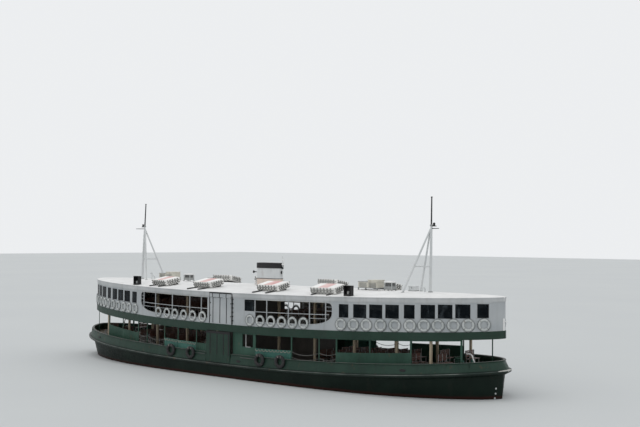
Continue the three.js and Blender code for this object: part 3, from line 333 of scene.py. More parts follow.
# Weathered paints: colour, faded colour, dirt, then rust, roughness and streaks where they differ
PAINT_ROWS = {
    "green": ((0.02, 0.063, 0.042), (0.034, 0.088, 0.062), (0.022, 0.03, 0.025), 0.35),
    "bulwark": ((0.008, 0.031, 0.0195), (0.015, 0.043, 0.029), (0.011, 0.017, 0.014), 0.3),
    "fascia": ((0.01, 0.033, 0.021), (0.015, 0.043, 0.029), (0.022, 0.027, 0.024)),
    "teal": ((0.038, 0.125, 0.1), (0.06, 0.17, 0.14), (0.035, 0.06, 0.05)),
    "white": ((0.56, 0.58, 0.585), (0.64, 0.655, 0.655), (0.4, 0.4, 0.38), 0.12),
    # The upper walls' white, darkened: painted shade of the ship's shaded side
    "wall": ((0.37, 0.395, 0.41), (0.43, 0.45, 0.46), (0.27, 0.275, 0.265), 0.12),
    "roof": ((0.75, 0.75, 0.745), (0.84, 0.84, 0.83), (0.55, 0.53, 0.5), 0, 0.7, 0.15),
    # The same white for the roof's lip and the trims, darkened likewise: painted shade
    "edge": ((0.42, 0.44, 0.445), (0.52, 0.53, 0.535), (0.3, 0.3, 0.28), 0.1),
    "cream": ((0.42, 0.35, 0.25), (0.52, 0.44, 0.32), (0.22, 0.18, 0.13)),
    # Near-black for the solids inside the decks: painted shade of the dim interior
    "cabin": ((0.06, 0.055, 0.048), (0.09, 0.08, 0.07), (0.03, 0.028, 0.025)),
    "funnel_cream": ((0.62, 0.51, 0.44), (0.72, 0.6, 0.53), (0.42, 0.34, 0.28)),
    "grey": ((0.26, 0.27, 0.27), (0.36, 0.37, 0.365), (0.18, 0.16, 0.13), 0.3),
    "vent": ((0.53, 0.51, 0.44), (0.68, 0.66, 0.58), (0.32, 0.28, 0.22), 0.25),
    "cap_rail": ((0.05, 0.068, 0.06), (0.11, 0.108, 0.1), (0.03, 0.042, 0.035)),
    # Paler strip on the belting's upper shoulder: wear, and a painted highlight where the sky lights it
    "belt_worn": ((0.02, 0.035, 0.03), (0.16, 0.175, 0.16), (0.015, 0.025, 0.02), 0.4),
    "belt": ((0.0045, 0.0135, 0.009), (0.011, 0.022, 0.0165), (0.007, 0.01, 0.0085), 0.15),
    "belt_tip": ((0.4, 0.4, 0.38), (0.55, 0.55, 0.52), (0.2, 0.2, 0.17), 0.4),
    "raft": ((0.86, 0.85, 0.83), (0.95, 0.94, 0.92), (0.62, 0.58, 0.56), 0, 0.6, 0.2),
    "raft_band": ((0.66, 0.33, 0.32), (0.84, 0.66, 0.64), (0.5, 0.2, 0.19), 0, 0.6, 0.5),
    "raft_side": ((0.68, 0.675, 0.65), (0.84, 0.83, 0.8), (0.45, 0.45, 0.43)),
    "ring": ((0.42, 0.445, 0.44), (0.54, 0.56, 0.55), (0.26, 0.285, 0.27)),
    "black": ((0.01, 0.01, 0.011), (0.02, 0.02, 0.021), (0.04, 0.035, 0.03)),
    "frame": ((0.03, 0.033, 0.034), (0.05, 0.052, 0.052), (0.02, 0.02, 0.02)),
}
CHAIN_METAL = ((0.12, 0.12, 0.115), (0.2, 0.2, 0.19), (0.06, 0.045, 0.03), 0.4)

# Solids that keep their own shape, by the start of their name, and the paint each one gets
KEPT = {
    # The casing, the funnel's trunk and the wheelhouses get the near-black of painted shade
    "engine_casing": "cabin",
    "funnel_trunk": "cabin",
    "wheelhouse_": "cabin",
    "girder_": "cream",
    "rudder_": "hull",
    "propeller_": "bronze",
}

# Camera: place, turn from +Y towards +X, tilt up, roll, and its lens on a 36 mm sensor
CAMERA = {
    "place": (43.519, -46.439, 8.193),
    "yaw": -0.70435,
    "pitch": 0.02527,
    "roll": 0.00734,
    "lens": 57.24,
}

ENDS = [("fore", 1), ("aft", -1)]
SIDES = [("starboard", -1), ("port", 1)]


def sheer(line, x):
    return line[0] + line[1] * (x / SHEER_REACH) ** 2


def along(line, lift=0.0):
    return lambda x: sheer(line, x) + lift


def level(z):
    return lambda x: z


def flat(height):
    return lambda x, y: height(x)


def roof_top(x, y):
    share = min(abs(y) / ROOF_LINE.breadth(x), 1)
    narrow = ROOF_LINE.breadth(x) / ROOF_LINE.half
    return sheer(ROOF_EDGE, x) + ROOF_CAMBER * narrow * (1 - share**2)


def spread(a, b, steps):
    """Evenly spaced numbers from a to b."""
    return [a + (b - a) * i / steps for i in range(steps + 1)]


def circle(count):
    return [2 * pi * k / count for k in range(count)]


def span(way, a, b):
    """Two places measured towards an end or a side, the lower coordinate first."""
    return sorted((way * a, way * b))


def spun(profile, t):
    """A profile of (radius, z), turned round the Z axis by an angle."""
    return [(r * cos(t), r * sin(t), z) for r, z in profile]


def tilted(axis, degrees):
    return Matrix.Rotation(radians(degrees), 4, axis)


def beside(line, end, side, x, out, z, lie=0):
    """From a fitting's own frame to a place off a line of the ship's side, turned with that line."""
    turn = Matrix.Rotation(-end * side * line.turn(x), 4, "Z")
    return Matrix.Translation((end * x, side * (line.breadth(x) + out), z)) @ turn @ tilted("X", lie)


# Materials


class Look:
    """Builds one material's node tree. Its places are the object's own coordinates."""

    def __init__(self, name):
        self.material = bpy.data.materials.new(name)
        self.material.use_nodes = True
        self.tree = self.material.node_tree
        self.shader = self.tree.nodes["Principled BSDF"]
        self.place = self.node("ShaderNodeTexCoord").outputs["Object"]

    def node(self, kind, **inputs):
        made = self.tree.nodes.new(kind)
        for name, value in inputs.items():
            self.put(made.inputs[name.replace("_", " ")], value)
        return made

    def put(self, socket, value):
        if isinstance(value, bpy.types.NodeSocket):
            self.tree.links.new(value, socket)
        else:
            socket.default_value = value

    def noise(self, scale, detail, stretch=(1, 1, 1)):
        places = self.node("ShaderNodeMapping", Vector=self.place, Scale=stretch).outputs["Vector"]
        return self.node("ShaderNodeTexNoise", Vector=places, Scale=scale, Detail=detail).outputs["Fac"]

    def between(self, value, low, high, to_low=0.0, to_high=1.0):
        made = self.node("ShaderNodeMapRange", Value=value)
        for name, number in zip(("From Min", "From Max", "To Min", "To Max"), (low, high, to_low, to_high)):
            made.inputs[name].default_value = number
        return made.outputs["Result"]

    def mixed(self, share, a, b):
        made = self.node("ShaderNodeMix")
        made.data_type = "RGBA"
        for index, value in ((0, share), (6, a), (7, b)):
            self.put(made.inputs[index], (*value, 1) if isinstance(value, tuple) else value)
        return made.outputs[2]

    def set(self, **values):
        for name, value in values.items():
            self.shader.inputs[name.replace("_", " ")].default_value = value

    def finish(self, color, roughness, bump=None, height=0.002):
        self.put(self.shader.inputs["Base Color"], color)
        self.put(self.shader.inputs["Roughness"], roughness)
        if bump is not None:
            made = self.node("ShaderNodeBump", Height=bump, Strength=0.6, Distance=height)
            self.put(self.shader.inputs["Normal"], made.outputs["Normal"])
        return self.material


def painted(name, color, faded, dirt, rust=0, rough=0.5, streaks=0.35):
    """Weathered paint: slow fading, dirt that runs down in streaks, small rust marks, brush grain."""
    look = Look(name)
    fading = look.between(look.noise(0.9, 5), 0.35, 0.68)
    runs = look.between(look.noise(1.0, 6, (5, 5, 0.5)), 0.5, 0.78, 0, streaks)
    fine = look.noise(9, 6)
    shade = look.mixed(fading, color, faded)
    shade = look.mixed(runs, shade, dirt)
    if rust:
        spots = look.between(look.noise(3.5, 8, (1, 1, 0.45)), 0.63, 0.72, 0, rust)
        shade = look.mixed(spots, shade, (0.16, 0.06, 0.025))
    roughness = look.between(fine, 0.3, 0.7, rough - 0.08, rough + 0.12)
    look.set(Specular_IOR_Level=0.3)
    return look.finish(shade, roughness, fine, 0.003)


def hull_paint():
    """Very dark green with a reddish boot top, a scum line at the water and runs of rust."""
    look = Look("hull_paint")
    wave = look.between(look.noise(1.2, 4, (1, 1, 0)), 0, 1, -0.05, 0.05)
    height = look.node("ShaderNodeMath")
    height.operation = "ADD"
    look.put(height.inputs[0], look.node("ShaderNodeSeparateXYZ", Vector=look.place).outputs["Z"])
    look.put(height.inputs[1], wave)
    over_water = height.outputs["Value"]
    fading = look.between(look.noise(0.7, 5), 0.35, 0.7)
    shade = look.mixed(fading, (0.005, 0.0105, 0.008), (0.009, 0.018, 0.013))
    runs = look.between(look.noise(1.0, 7, (4, 4, 0.35)), 0.55, 0.8, 0, 0.4)
    shade = look.mixed(runs, shade, (0.022, 0.021, 0.017))
    boot = look.between(over_water, 0.2, 0.12)
    shade = look.mixed(boot, shade, (0.032, 0.011, 0.008))
    scum = look.between(over_water, 0.07, 0.0)
    shade = look.mixed(scum, shade, (0.01, 0.012, 0.006))
    fine = look.noise(7, 7)
    roughness = look.between(fine, 0.3, 0.7, 0.4, 0.62)
    look.set(Specular_IOR_Level=0.12)
    return look.finish(shade, roughness, fine, 0.006)


def grained(name, light, dark, rough, stretch):
    """Wood, with its grain along the axis that the stretch makes short."""
    look = Look(name)
    rings = look.between(look.noise(7, 8, stretch), 0.35, 0.68)
    shade = look.mixed(rings, light, dark)
    wear = look.between(look.noise(1.4, 4), 0.5, 0.75, 0, 0.5)
    shade = look.mixed(wear, shade, tuple(min(1, 1.6 * c) for c in light))
    return look.finish(shade, look.between(rings, 0, 1, rough, rough + 0.15), rings, 0.002)


def planked(name, light, dark, seam, long, wide):
    """A laid deck: planks fore and aft with dark seams and worn patches."""
    look = Look(name)
    colors = {"Color1": (*light, 1), "Color2": (*dark, 1), "Mortar": (*seam, 1)}
    sizes = {"Scale": 1, "Mortar_Size": 0.006, "Brick_Width": long, "Row_Height": wide}
    brick = look.node("ShaderNodeTexBrick", Vector=look.place, **colors, **sizes)
    grain = look.noise(6, 8, (0.4, 8, 1))
    shade = look.mixed(look.between(grain, 0.4, 0.7, 0, 0.45), brick.outputs["Color"], dark)
    worn = look.between(look.noise(0.5, 5), 0.5, 0.7, 0, 0.4)
    shade = look.mixed(worn, shade, tuple(0.6 * c for c in dark))
    return look.finish(shade, look.between(grain, 0.3, 0.7, 0.55, 0.8), brick.outputs["Fac"], 0.002)


def canvas(name, color, dark):
    """Woven cloth or rope fibre: a fine crossed weave over slow stains."""
    look = Look(name)
    weave = look.noise(90, 2)
    stain = look.between(look.noise(2.5, 5), 0.4, 0.75)
    shade = look.mixed(stain, color, dark)
    shade = look.mixed(look.between(weave, 0.4, 0.65, 0, 0.35), shade, dark)
    return look.finish(shade, look.between(weave, 0.3, 0.7, 0.75, 0.95), weave, 0.003)


def rubber():
    look = Look("tyre_rubber")
    scuffs = look.between(look.noise(5, 7), 0.52, 0.72, 0, 0.6)
    shade = look.mixed(scuffs, (0.012, 0.012, 0.013), (0.055, 0.052, 0.048))
    fine = look.noise(40, 4)
    return look.finish(shade, look.between(fine, 0.3, 0.7, 0.55, 0.85), fine, 0.004)


def window_glass():
    """Dark glass with dust and the dim upright shapes of the cabin behind it."""
    look = Look("window_glass")
    dust = look.between(look.noise(2.2, 5), 0.45, 0.75)
    shade = look.mixed(dust, (0.004, 0.006, 0.008), (0.016, 0.021, 0.024))
    shapes = look.between(look.noise(3.2, 3, (1, 1, 0.25)), 0.56, 0.7, 0, 0.5)
    shade = look.mixed(shapes, shade, (0.075, 0.09, 0.1))
    look.set(Alpha=0.9, IOR=1.5, Specular_IOR_Level=0.05)
    return look.finish(shade, look.between(dust, 0, 1, 0.12, 0.3))


def bronze():
    look = Look("bronze")
    age = look.between(look.noise(5, 6), 0.4, 0.7)
    shade = look.mixed(age, (0.42, 0.25, 0.09), (0.12, 0.15, 0.09))
    look.set(Metallic=0.85)
    return look.finish(shade, look.between(age, 0, 1, 0.3, 0.6), age, 0.002)


PAINTS = {name: painted(name + "_paint", *row) for name, row in PAINT_ROWS.items()}
PAINTS |= {
    "hull": hull_paint(),
    "chain": painted("chain_metal", *CHAIN_METAL),
    "rubber": rubber(),
    "rope": canvas("rope_fibre", (0.4, 0.38, 0.33), (0.2, 0.18, 0.15)),
    "grab_line": canvas("grab_line_fibre", (0.19, 0.2, 0.2), (0.11, 0.12, 0.115)),
    "dark_rope": canvas("dark_rope_fibre", (0.06, 0.065, 0.06), (0.03, 0.03, 0.028)),
    "canvas": canvas("blind_canvas", (0.42, 0.41, 0.36), (0.25, 0.24, 0.2)),
    "slats": grained("bench_wood", (0.13, 0.045, 0.025), (0.05, 0.02, 0.012), 0.4, (9, 0.7, 9)),
    "deck": planked("deck_planks", (0.17, 0.145, 0.11), (0.1, 0.085, 0.065), (0.02, 0.018, 0.015), 3.2, 0.12),
    "glass": window_glass(),
    "bronze": bronze(),
}


# Shapes


class Shape:
    """A mesh in the making: its points, its faces, and the paint of each face."""

    def __init__(self, paint):
        self.points, self.faces, self.paints = [], [], []
        self.paint = paint

    def add(self, points, faces, paint=None):
        first = len(self.points)
        self.points += [Vector(p) for p in points]
        self.faces += [[first + i for i in face] for face in faces]
        self.paints += [paint or self.paint] * len(faces)

    def loft(self, rings, closed=False, caps=True, paint=None, paints=None):
        """Joins rings of points. paints names the paint of each strip between two points of a ring."""
        first, count = len(self.points), len(rings[0])
        strips = len(rings) if closed else len(rings) - 1
        paint = paint or self.paint
        self.add([p for ring in rings for p in ring], [])
        for i in range(strips):
            here, there = first + i * count, first + (i + 1) % len(rings) * count
            for j in range(count):
                k = (j + 1) % count
                self.faces.append([here + j, there + j, there + k, here + k])
        self.paints += (paints or [paint] * count) * strips
        if caps and not closed:
            for start in (first, first + strips * count):
                self.faces.append([start + j for j in range(count)])
                self.paints.append(paint)

    def box(self, x0, x1, y0, y1, z0, z1, paint=None):
        corners = [(x, y, z) for z in (z0, z1) for x, y in ((x0, y0), (x1, y0), (x1, y1), (x0, y1))]
        sides = [[0, 1, 5, 4], [1, 2, 6, 5], [2, 3, 7, 6], [3, 0, 4, 7], [3, 2, 1, 0], [4, 5, 6, 7]]
        self.add(corners, sides, paint)

    def inset(self, edges, into, z0, z1, paint=None):
        """A box drawn in from four edges."""
        x0, x1, y0, y1 = edges
        self.box(x0 + into, x1 - into, y0 + into, y1 - into, z0, z1, paint)

    def bar(self, a, b, r0, r1=None, sides=10, paint=None):
        """A round bar between two points."""
        self.pipe([a, b], [r0, r1 or r0], sides, paint=paint)

    def pipe(self, path, radii, sides=8, closed=False, paint=None):
        """A tube along a path, with one radius or one for each point."""
        path = [Vector(p) for p in path]
        count = len(path)
        radii = radii if isinstance(radii, list) else [radii] * count
        side = None
        rings = []
        for i, (p, r) in enumerate(zip(path, radii)):
            back = path[i - 1] if i or closed else p
            ahead = path[(i + 1) % count] if i < count - 1 or closed else p
            way = (ahead - back).normalized()
            if side is None:
                side = way.orthogonal().normalized()
            side = (side - way * side.dot(way)).normalized()
            other = way.cross(side)
            rings.append([p + r * (cos(t) * side + sin(t) * other) for t in circle(sides)])
        self.loft(rings, closed, paint=paint)

    def lathe(self, profile, place, sides=16, paint=None):
        """Turns a profile of (radius, z) round an axis. Its place is a point, or a matrix if it is tilted."""
        first = len(self.points)
        self.loft([[(r * cos(t), r * sin(t), z) for t in circle(sides)] for r, z in profile], paint=paint)
        self.move(first, place if isinstance(place, Matrix) else Matrix.Translation(place))

    def move(self, first, matrix):
        self.points[first:] = [matrix @ p for p in self.points[first:]]

    def strip(self, end, side, x0, x1, line, thick, low, high, steps, paint=None):
        """A slab along one side of the ship, its outer face on a line seen from above."""
        rings = []
        for x in spread(x0, x1, steps):
            y = line.breadth(x)
            section = [(y, low(x)), (y, high(x)), (y - thick, high(x)), (y - thick, low(x))]
            rings.append([(end * x, side * py, z) for py, z in section])
        self.loft(rings, paint=paint)

    def wrap(self, end, start_x, section, steps=72, paints=None):
        """A wall round one end. Its section is a table of (outline, height at x)."""
        rings = []
        for i in range(steps + 1):
            ring = []
            for outline, height in section:
                start = outline.angle(start_x)
                x, y = outline.at(start + (pi - 2 * start) * i / steps)
                ring.append((end * x, y, height(x)))
            rings.append(ring)
        self.loft(rings, paints=paints)


def across_ship(section):
    """Rings across the whole ship. The section is a table of (outline, share of half breadth, height)."""
    rings = []
    for angle in spread(-pi / 2, pi / 2, FINE_STEPS):
        ring = []
        for outline, share, height in section:
            x, y = outline.at(angle)
            wide = max(abs(y), THIN_END if outline is section[0][0] else THIN_END / 2)
            ring.append((x, share * wide, height(x, share * wide)))
        rings.append(ring)
    return rings


def piece(name, shape, body="ferry", stands_for=()):
    """Makes a Blender object of a shape, with each face in its paint, and ties it to the frame."""
    names = sorted(set(shape.paints))
    mesh = bpy.data.meshes.new(name)
    mesh.from_pydata(shape.points, [], shape.faces)
    for paint in names:
        mesh.materials.append(PAINTS[paint])
    mesh.polygons.foreach_set("material_index", [names.index(p) for p in shape.paints])
    work = bmesh.new()
    work.from_mesh(mesh)
    bmesh.ops.remove_doubles(work, verts=work.verts, dist=1e-6)
    bmesh.ops.recalc_face_normals(work, faces=work.faces)
    work.to_mesh(mesh)
    work.free()
    mesh.polygons.foreach_set("use_smooth", [True] * len(mesh.polygons))
    mesh.set_sharp_from_angle(angle=radians(38))
    made = bpy.data.objects.new(name, mesh)
    bpy.context.scene.collection.objects.link(made)
    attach(made, body)
    if stands_for:
        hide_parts(*stands_for)


# Hull, belting and bulwarks


def build_hull():
    shape = Shape("hull")
    down = [(SHELL, 1, flat(along(DECK))), (SHELL, 1, flat(along(BELT_FOOT, -0.02)))]
    down.append((UNDER_BELT, 1, flat(along(BELT_FOOT, -STEP_DROP))))
    down += [(Outline(*line), 1, flat(level(z))) for z, *line in HULL_LEVELS]
    up = [(outline, -share, height) for outline, share, height in reversed(down)]
    shape.loft(across_ship(down + up))
    for end in (1, -1):
        xs = span(end, SOLE["x0"], SOLE["x1"])
        shape.box(*xs, -SOLE["half"], SOLE["half"], SOLE["low"], SOLE["high"])
        shape.bar((end * TRUNK["x"], 0, TRUNK["low"]), (end * TRUNK["x"], 0, 0), TRUNK["r"], sides=20)
        a, b = ((end * TUBE[key], 0, TUBE["z"]) for key in ("x0", "x1"))
        shape.bar(a, b, TUBE["r0"], TUBE["r1"], 20)
        for side in (1, -1):
            for x, z in DRAFT_MARKS:
                add_draft_mark(shape, end, side, x, z)
    piece("hull_painted", shape, stands_for=["hull"])


def add_draft_mark(shape, end, side, x, z):
    """A white disc on the hull's side near the stem."""
    share = z / (sheer(BELT_FOOT, x) - STEP_DROP)
    water = Outline(*HULL_LEVELS[0][1:])
    out = share * (UNDER_BELT.breadth(x) - water.breadth(x))
    shape.lathe(MARK, beside(water, end, side, x, out, z, -90 * side), paint="ring")


def build_planking(name, inner, line):
    """Laid planks, a few millimetres over a deck."""
    shares = [k / 4 for k in range(-4, 5)]
    section = [(inner, share, flat(along(line, PLANKS_OVER))) for share in shares]
    section += [(inner, share, flat(along(line, PLANKS_UNDER))) for share in reversed(shares)]
    shape = Shape("deck")
    shape.loft(across_ship(section))
    piece(name, shape)


def build_belting():
    # Share of the belting's reach, line, lift, paint of the strip that follows
    section = [
        (0.003, BELT_FOOT, 0, "belt"),
        (0.6, BELT_FOOT, 0.012, "belt"),
        (0.9, BELT_FOOT, 0.035, "belt"),
        (1, BELT_FOOT, 0.07, "belt"),
        # The upper shoulder's strip is paler: wear and a painted highlight
        (1, BELT_TOP, -0.06, "belt_worn"),
        (0.9, BELT_TOP, -0.025, "belt"),
        (0.6, BELT_TOP, -0.006, "belt"),
        (0.003, BELT_TOP, 0, "belt"),
    ]
    shape = Shape("belt")
    rows = [
        (SHELL.grown(BELT["out"] * share, BELT["tip_out"] * share), along(line, lift))
        for share, line, lift, _ in section
    ]
    for end in (1, -1):
        shape.wrap(end, 0.0, rows, 110, [paint for *_, paint in section])
    tip_low = sheer(BELT_TOP, SHEER_REACH) - 0.1
    for i, face in enumerate(shape.faces):
        corners = [shape.points[k] for k in face]
        if min(abs(p.x) for p in corners) > BELT["tip_from"] and min(p.z for p in corners) > tip_low:
            shape.paints[i] = "belt_tip"
    piece("belting_rounded", shape, stands_for=["belting"])


def build_bulwark(name, end):
    shape = Shape("bulwark")
    top = SHELL.grown(-BULWARK["lean"], -BULWARK["tip_lean"])
    inner = lambda outline, thick: outline.grown(-thick, -TIP_SHARE * thick)
    start_x = (LOWER_GANGWAY["x1"] if end > 0 else -LOWER_GANGWAY["x0"]) + GANGWAY_GAP
    foot, cap_foot, cap_top = along(DECK, 0.001), along(CAP_TOP, -BULWARK["cap"]), along(CAP_TOP)
    plate, out, width = BULWARK["plate"], BULWARK["cap_out"], BULWARK["thick"]
    wall = [(SHELL, foot), (top, cap_foot), (inner(top, plate), cap_foot), (inner(SHELL, plate), foot)]
    shape.wrap(end, start_x, wall)
    rail = [
        (top.grown(out - 0.012), cap_foot),
        (top.grown(out), along(CAP_TOP, -0.038)),
        (top.grown(out), along(CAP_TOP, -0.012)),
        (top.grown(out - 0.012), cap_top),
        (top.grown(0.012 - width, -TIP_SHARE * width), cap_top),
        (inner(top, width), cap_foot),
    ]
    shape.wrap(end, start_x, rail, paints=["bulwark"] * 2 + ["cap_rail"] * 3 + ["bulwark"])
    for side in (1, -1):
        add_stanchions(shape, end, side, start_x + 0.15)
        for x in TYRE_XS:
            if x * end > 0:
                add_tyre(shape, x, side)
        add_bulwark_fittings(shape, end, side)
    piece(name + "_stayed", shape, stands_for=[name])


def add_stanchions(shape, end, side, start_x):
    """Sloping stays that hold the bulwark from inside."""
    for x in spread(start_x, STANCHION["last"], STANCHION["count"] - 1):
        y = SHELL.breadth(x)
        low, high = sheer(DECK, x), sheer(CAP_TOP, x) - 0.06
        reach = min(STANCHION["reach"], y / 3)
        corners = [(y - 0.06, low), (y - reach - 0.06, low), (y - 0.15, high), (y - 0.12, high)]
        xs = (x - STANCHION["half"], x + STANCHION["half"])
        shape.loft([[(end * px, side * cy, z) for cy, z in corners] for px in xs])


def add_bulwark_fittings(shape, end, side):
    """A guide bar beside the gangway, and scuppers near the deck drawn as thin black discs: painted shade of
    their openings.
    """
    bar = [(end * x, side * (SHELL.breadth(x) - 0.035), GUIDE_BAR_Z) for x in spread(*GUIDE_BAR[end], 6)]
    shape.pipe(bar, 0.022, paint="cap_rail")
    for x in SCUPPER["xs"][end]:
        lean = BULWARK["lean"] + (BULWARK["tip_lean"] - BULWARK["lean"]) * (x / SHELL.reach) ** 6
        high_share = SCUPPER["lift"] / 0.52
        long, tall = SCUPPER["half_long"], SCUPPER["half_tall"]
        first = len(shape.points)
        # A thin black disc on the plating: painted shade where the scupper's opening is
        rings = [[(long * cos(t), y, tall * sin(t)) for t in circle(20)] for y in (-0.02, 0.006)]
        shape.loft(rings, paint="black")
        z = sheer(DECK, x) + SCUPPER["lift"]
        shape.move(first, beside(SHELL, end, side, x, -lean * high_share, z))


def add_tyre(shape, x, side):
    """A worn tyre hung flat as a fender, from two ropes that go up in a V."""
    tube = (TYRE["out"] - TYRE["hole"]) / 2
    big, half = TYRE["out"] - tube, TYRE["thick"] / 2 - 0.024
    y = SHELL.breadth(x) - TYRE["sunk"] + TYRE["thick"] / 2 - 0.012
    centre = Vector((x, side * y, sheer(DECK, x) + TYRE["lift"]))
    face = [(tube, half * 0.5), (tube - 0.012, half * 0.72), (0.03, half), (-0.05, half), (-tube, 0.03)]
    profile = [(r, z) for r, z in reversed(face)] + [(r, -z) for r, z in face]
    rings = []
    for i, t in enumerate(circle(2 * TYRE["treads"])):
        cut = -TYRE["tread"] if i % 2 else 0
        rings.append(spun([(big + r + (cut if r > 0.05 else 0), z) for r, z in profile], t))
    first = len(shape.points)
    shape.loft(rings, True, paint="rubber")
    shape.move(first, Matrix.Translation(centre) @ tilted("X", 90))
    cap_y = SHELL.breadth(x) - BULWARK["lean"] + BULWARK["cap_out"] + 0.008
    cap_z = sheer(CAP_TOP, x) + 0.008
    out_y, in_y, low_z = y + half + 0.004, y - half + 0.02, centre.z + TYRE["out"] - 0.16
    for way in (-1, 1):
        path = [
            (0.15, cap_y - 0.08, cap_z),
            (0.15, cap_y, cap_z),
            (0.13, out_y, centre.z + TYRE["out"] - 0.05),
            (0.1, out_y, low_z),
            (0.1, in_y, low_z - 0.03),
        ]
        shape.pipe([(x + way * px, side * py, z) for px, py, z in path], 0.012, 6, paint="rope")


# Lower deck sides


def build_side_frame(name, end, side):
    shape = Shape("green")
    foot, head = along(DECK, 0.002), along(FASCIA_FOOT, -0.002)

    def board(x0, x1, low, high, paint=None, line=FRAME_LINE, thick=SIDE_THICK, steps=6):
        shape.strip(end, side, x0, x1, line, thick, low, high, steps, paint)

    edge = SIDE_START[end]
    board(edge, SIDE_LAST, foot, along(DECK, 0.09), steps=40)
    board(edge, SIDE_LAST, along(FASCIA_FOOT, -0.07), head, steps=40)
    for x0, x1, kind, paint in SIDE_OPENINGS[end]:
        board(edge, x0, foot, head)
        edge = x1
        if kind == "window":
            board(x0, x1, foot, level(PORTHOLE[0]))
            board(x0, x1, level(PORTHOLE[1]), head)
            add_shutter(shape, end, side, x0 + 0.26, x0 + 0.64)
        if kind == "panel":
            board(x0, x1, foot, along(PANEL_TOP), paint)
            capping = along(PANEL_TOP, -0.035), along(PANEL_TOP, 0.012)
            board(x0, x1, *capping, paint, FRAME_LINE.grown(0.012), SIDE_THICK + 0.024)
            add_battens(shape, end, side, x0, x1, paint)
        if paint == "teal":
            add_swags(shape, end, side, x0, x1)
    board(edge, SIDE_LAST, foot, head)
    for row in CHAINS:
        add_chain(shape, end, side, row)
    piece(name + "_boarded", shape, stands_for=[name])


def add_battens(shape, end, side, x0, x1, paint):
    """Thin upright battens over the joints of a panel's boards."""
    low, high = along(DECK, 0.09), along(PANEL_TOP, -0.035)
    line = FRAME_LINE.grown(0.008)
    for x in spread(x0, x1, max(2, round((x1 - x0) / 0.16)))[1:-1]:
        shape.strip(end, side, x - 0.012, x + 0.012, line, 0.012, low, high, 1, paint)


def add_swags(shape, end, side, x0, x1):
    """A rope along the top of a panel, tied up every quarter metre and slack between."""
    steps = 6
    path = []
    for i, x in enumerate(spread(x0, x1, round((x1 - x0) / 0.26) * steps)):
        share = i % steps / steps
        z = sheer(PANEL_TOP, x) - 0.005 - 0.5 * share * (1 - share)
        path.append((end * x, side * (FRAME_LINE.breadth(x) + 0.024), z))
    shape.pipe(path, 0.014, 5, paint="rope")


def add_shutter(shape, end, side, x0, x1):
    """The pale edge of a half-drawn shutter: its upright and its foot."""
    low, high = PORTHOLE
    line = FRAME_LINE.grown(0.01)
    shape.strip(end, side, x0, x0 + 0.05, line, 0.03, level(low), level(high), 1, "grey")
    shape.strip(end, side, x0, x1, line, 0.03, level(low - 0.02), level(low + 0.02), 4, "grey")


def add_chain(shape, end, side, row):
    """Long links, each turned a quarter round from the last, on the line of the solid's chain."""
    x0, x1, lift, sag = row
    count = int((x1 - x0) / (LINK["long"] * LINK["pitch"]))

    def place(s):
        x = x0 + (x1 - x0) * s
        z = sheer(DECK, x) + lift - 4 * sag * s * (1 - s)
        return Vector((end * x, side * (FRAME_LINE.breadth(x) - 0.02), z))

    for i in range(count):
        a, b = place(i / count), place((i + 1) / count)
        way = (b - a).normalized() * (LINK["long"] / 2)
        wide = way.cross(Vector((0, 1, 0) if i % 2 else (0, 0, 1))).normalized() * LINK["half_wide"]
        loop = [(a + b) / 2 + way * cos(t) + wide * sin(t) for t in circle(8)]
        shape.pipe(loop, LINK["wire"], 4, True, "chain")


def build_gangway(name, side, gangway, line, look):
    """A leaf hinged along its foot, with upright ribs, a header bar and its hinge fittings. The ribs and the
    header are black: painted shade in the gaps between its boards and a painted shadow across its top.
    """
    half = gangway["thick"] / 2
    z = sheer(line, 0) + half
    x0, x1, y, top = gangway["x0"], gangway["x1"], gangway["y"], gangway["top"]
    head = top - look["header"]
    shape = Shape(look["paint"])
    layer = lambda a, b: span(side, y + a * half, y + b * half)
    shape.box(x0 + 0.01, x1 - 0.01, *layer(-1, 0.55), z, top)
    for x, wide in look["ribs"]:
        # Black ribs: painted shade of the gaps between the boards
        shape.box(x - wide / 2, x + wide / 2, *layer(0.4, 0.85), z + look["rib_foot"], top - 0.002, "black")
    edges = [x0] + [x for x, _ in look["ribs"]] + [x1]
    for a, b in zip(edges, edges[1:]):
        shape.box(a + 0.05, b - 0.05, *layer(0.5, 0.7), z + 0.05, head - 0.01)
    if look["header"]:
        # Black header: a painted shadow across the leaf's top
        shape.box(x0, x1, *layer(-0.9, 1), head, top, "black")
    for place in (z + 0.2, head - 0.1):
        shape.box(x0 + 0.02, x1 - 0.02, *layer(-1, -0.8), place, place + 0.06, "grey")
    for x in (x0 + 0.05, x1 - 0.05):
        for place in (z + 0.45, z + 1.2):
            a, b = (x, side * y, place), (x, side * (y + 0.95 * half), place)
            shape.bar(a, b, 0.035, sides=12, paint="black")
    shape.bar((x0, side * y, z), (x1, side * y, z), half, sides=14)
    piece(name + "_leaf", shape, name, [name])


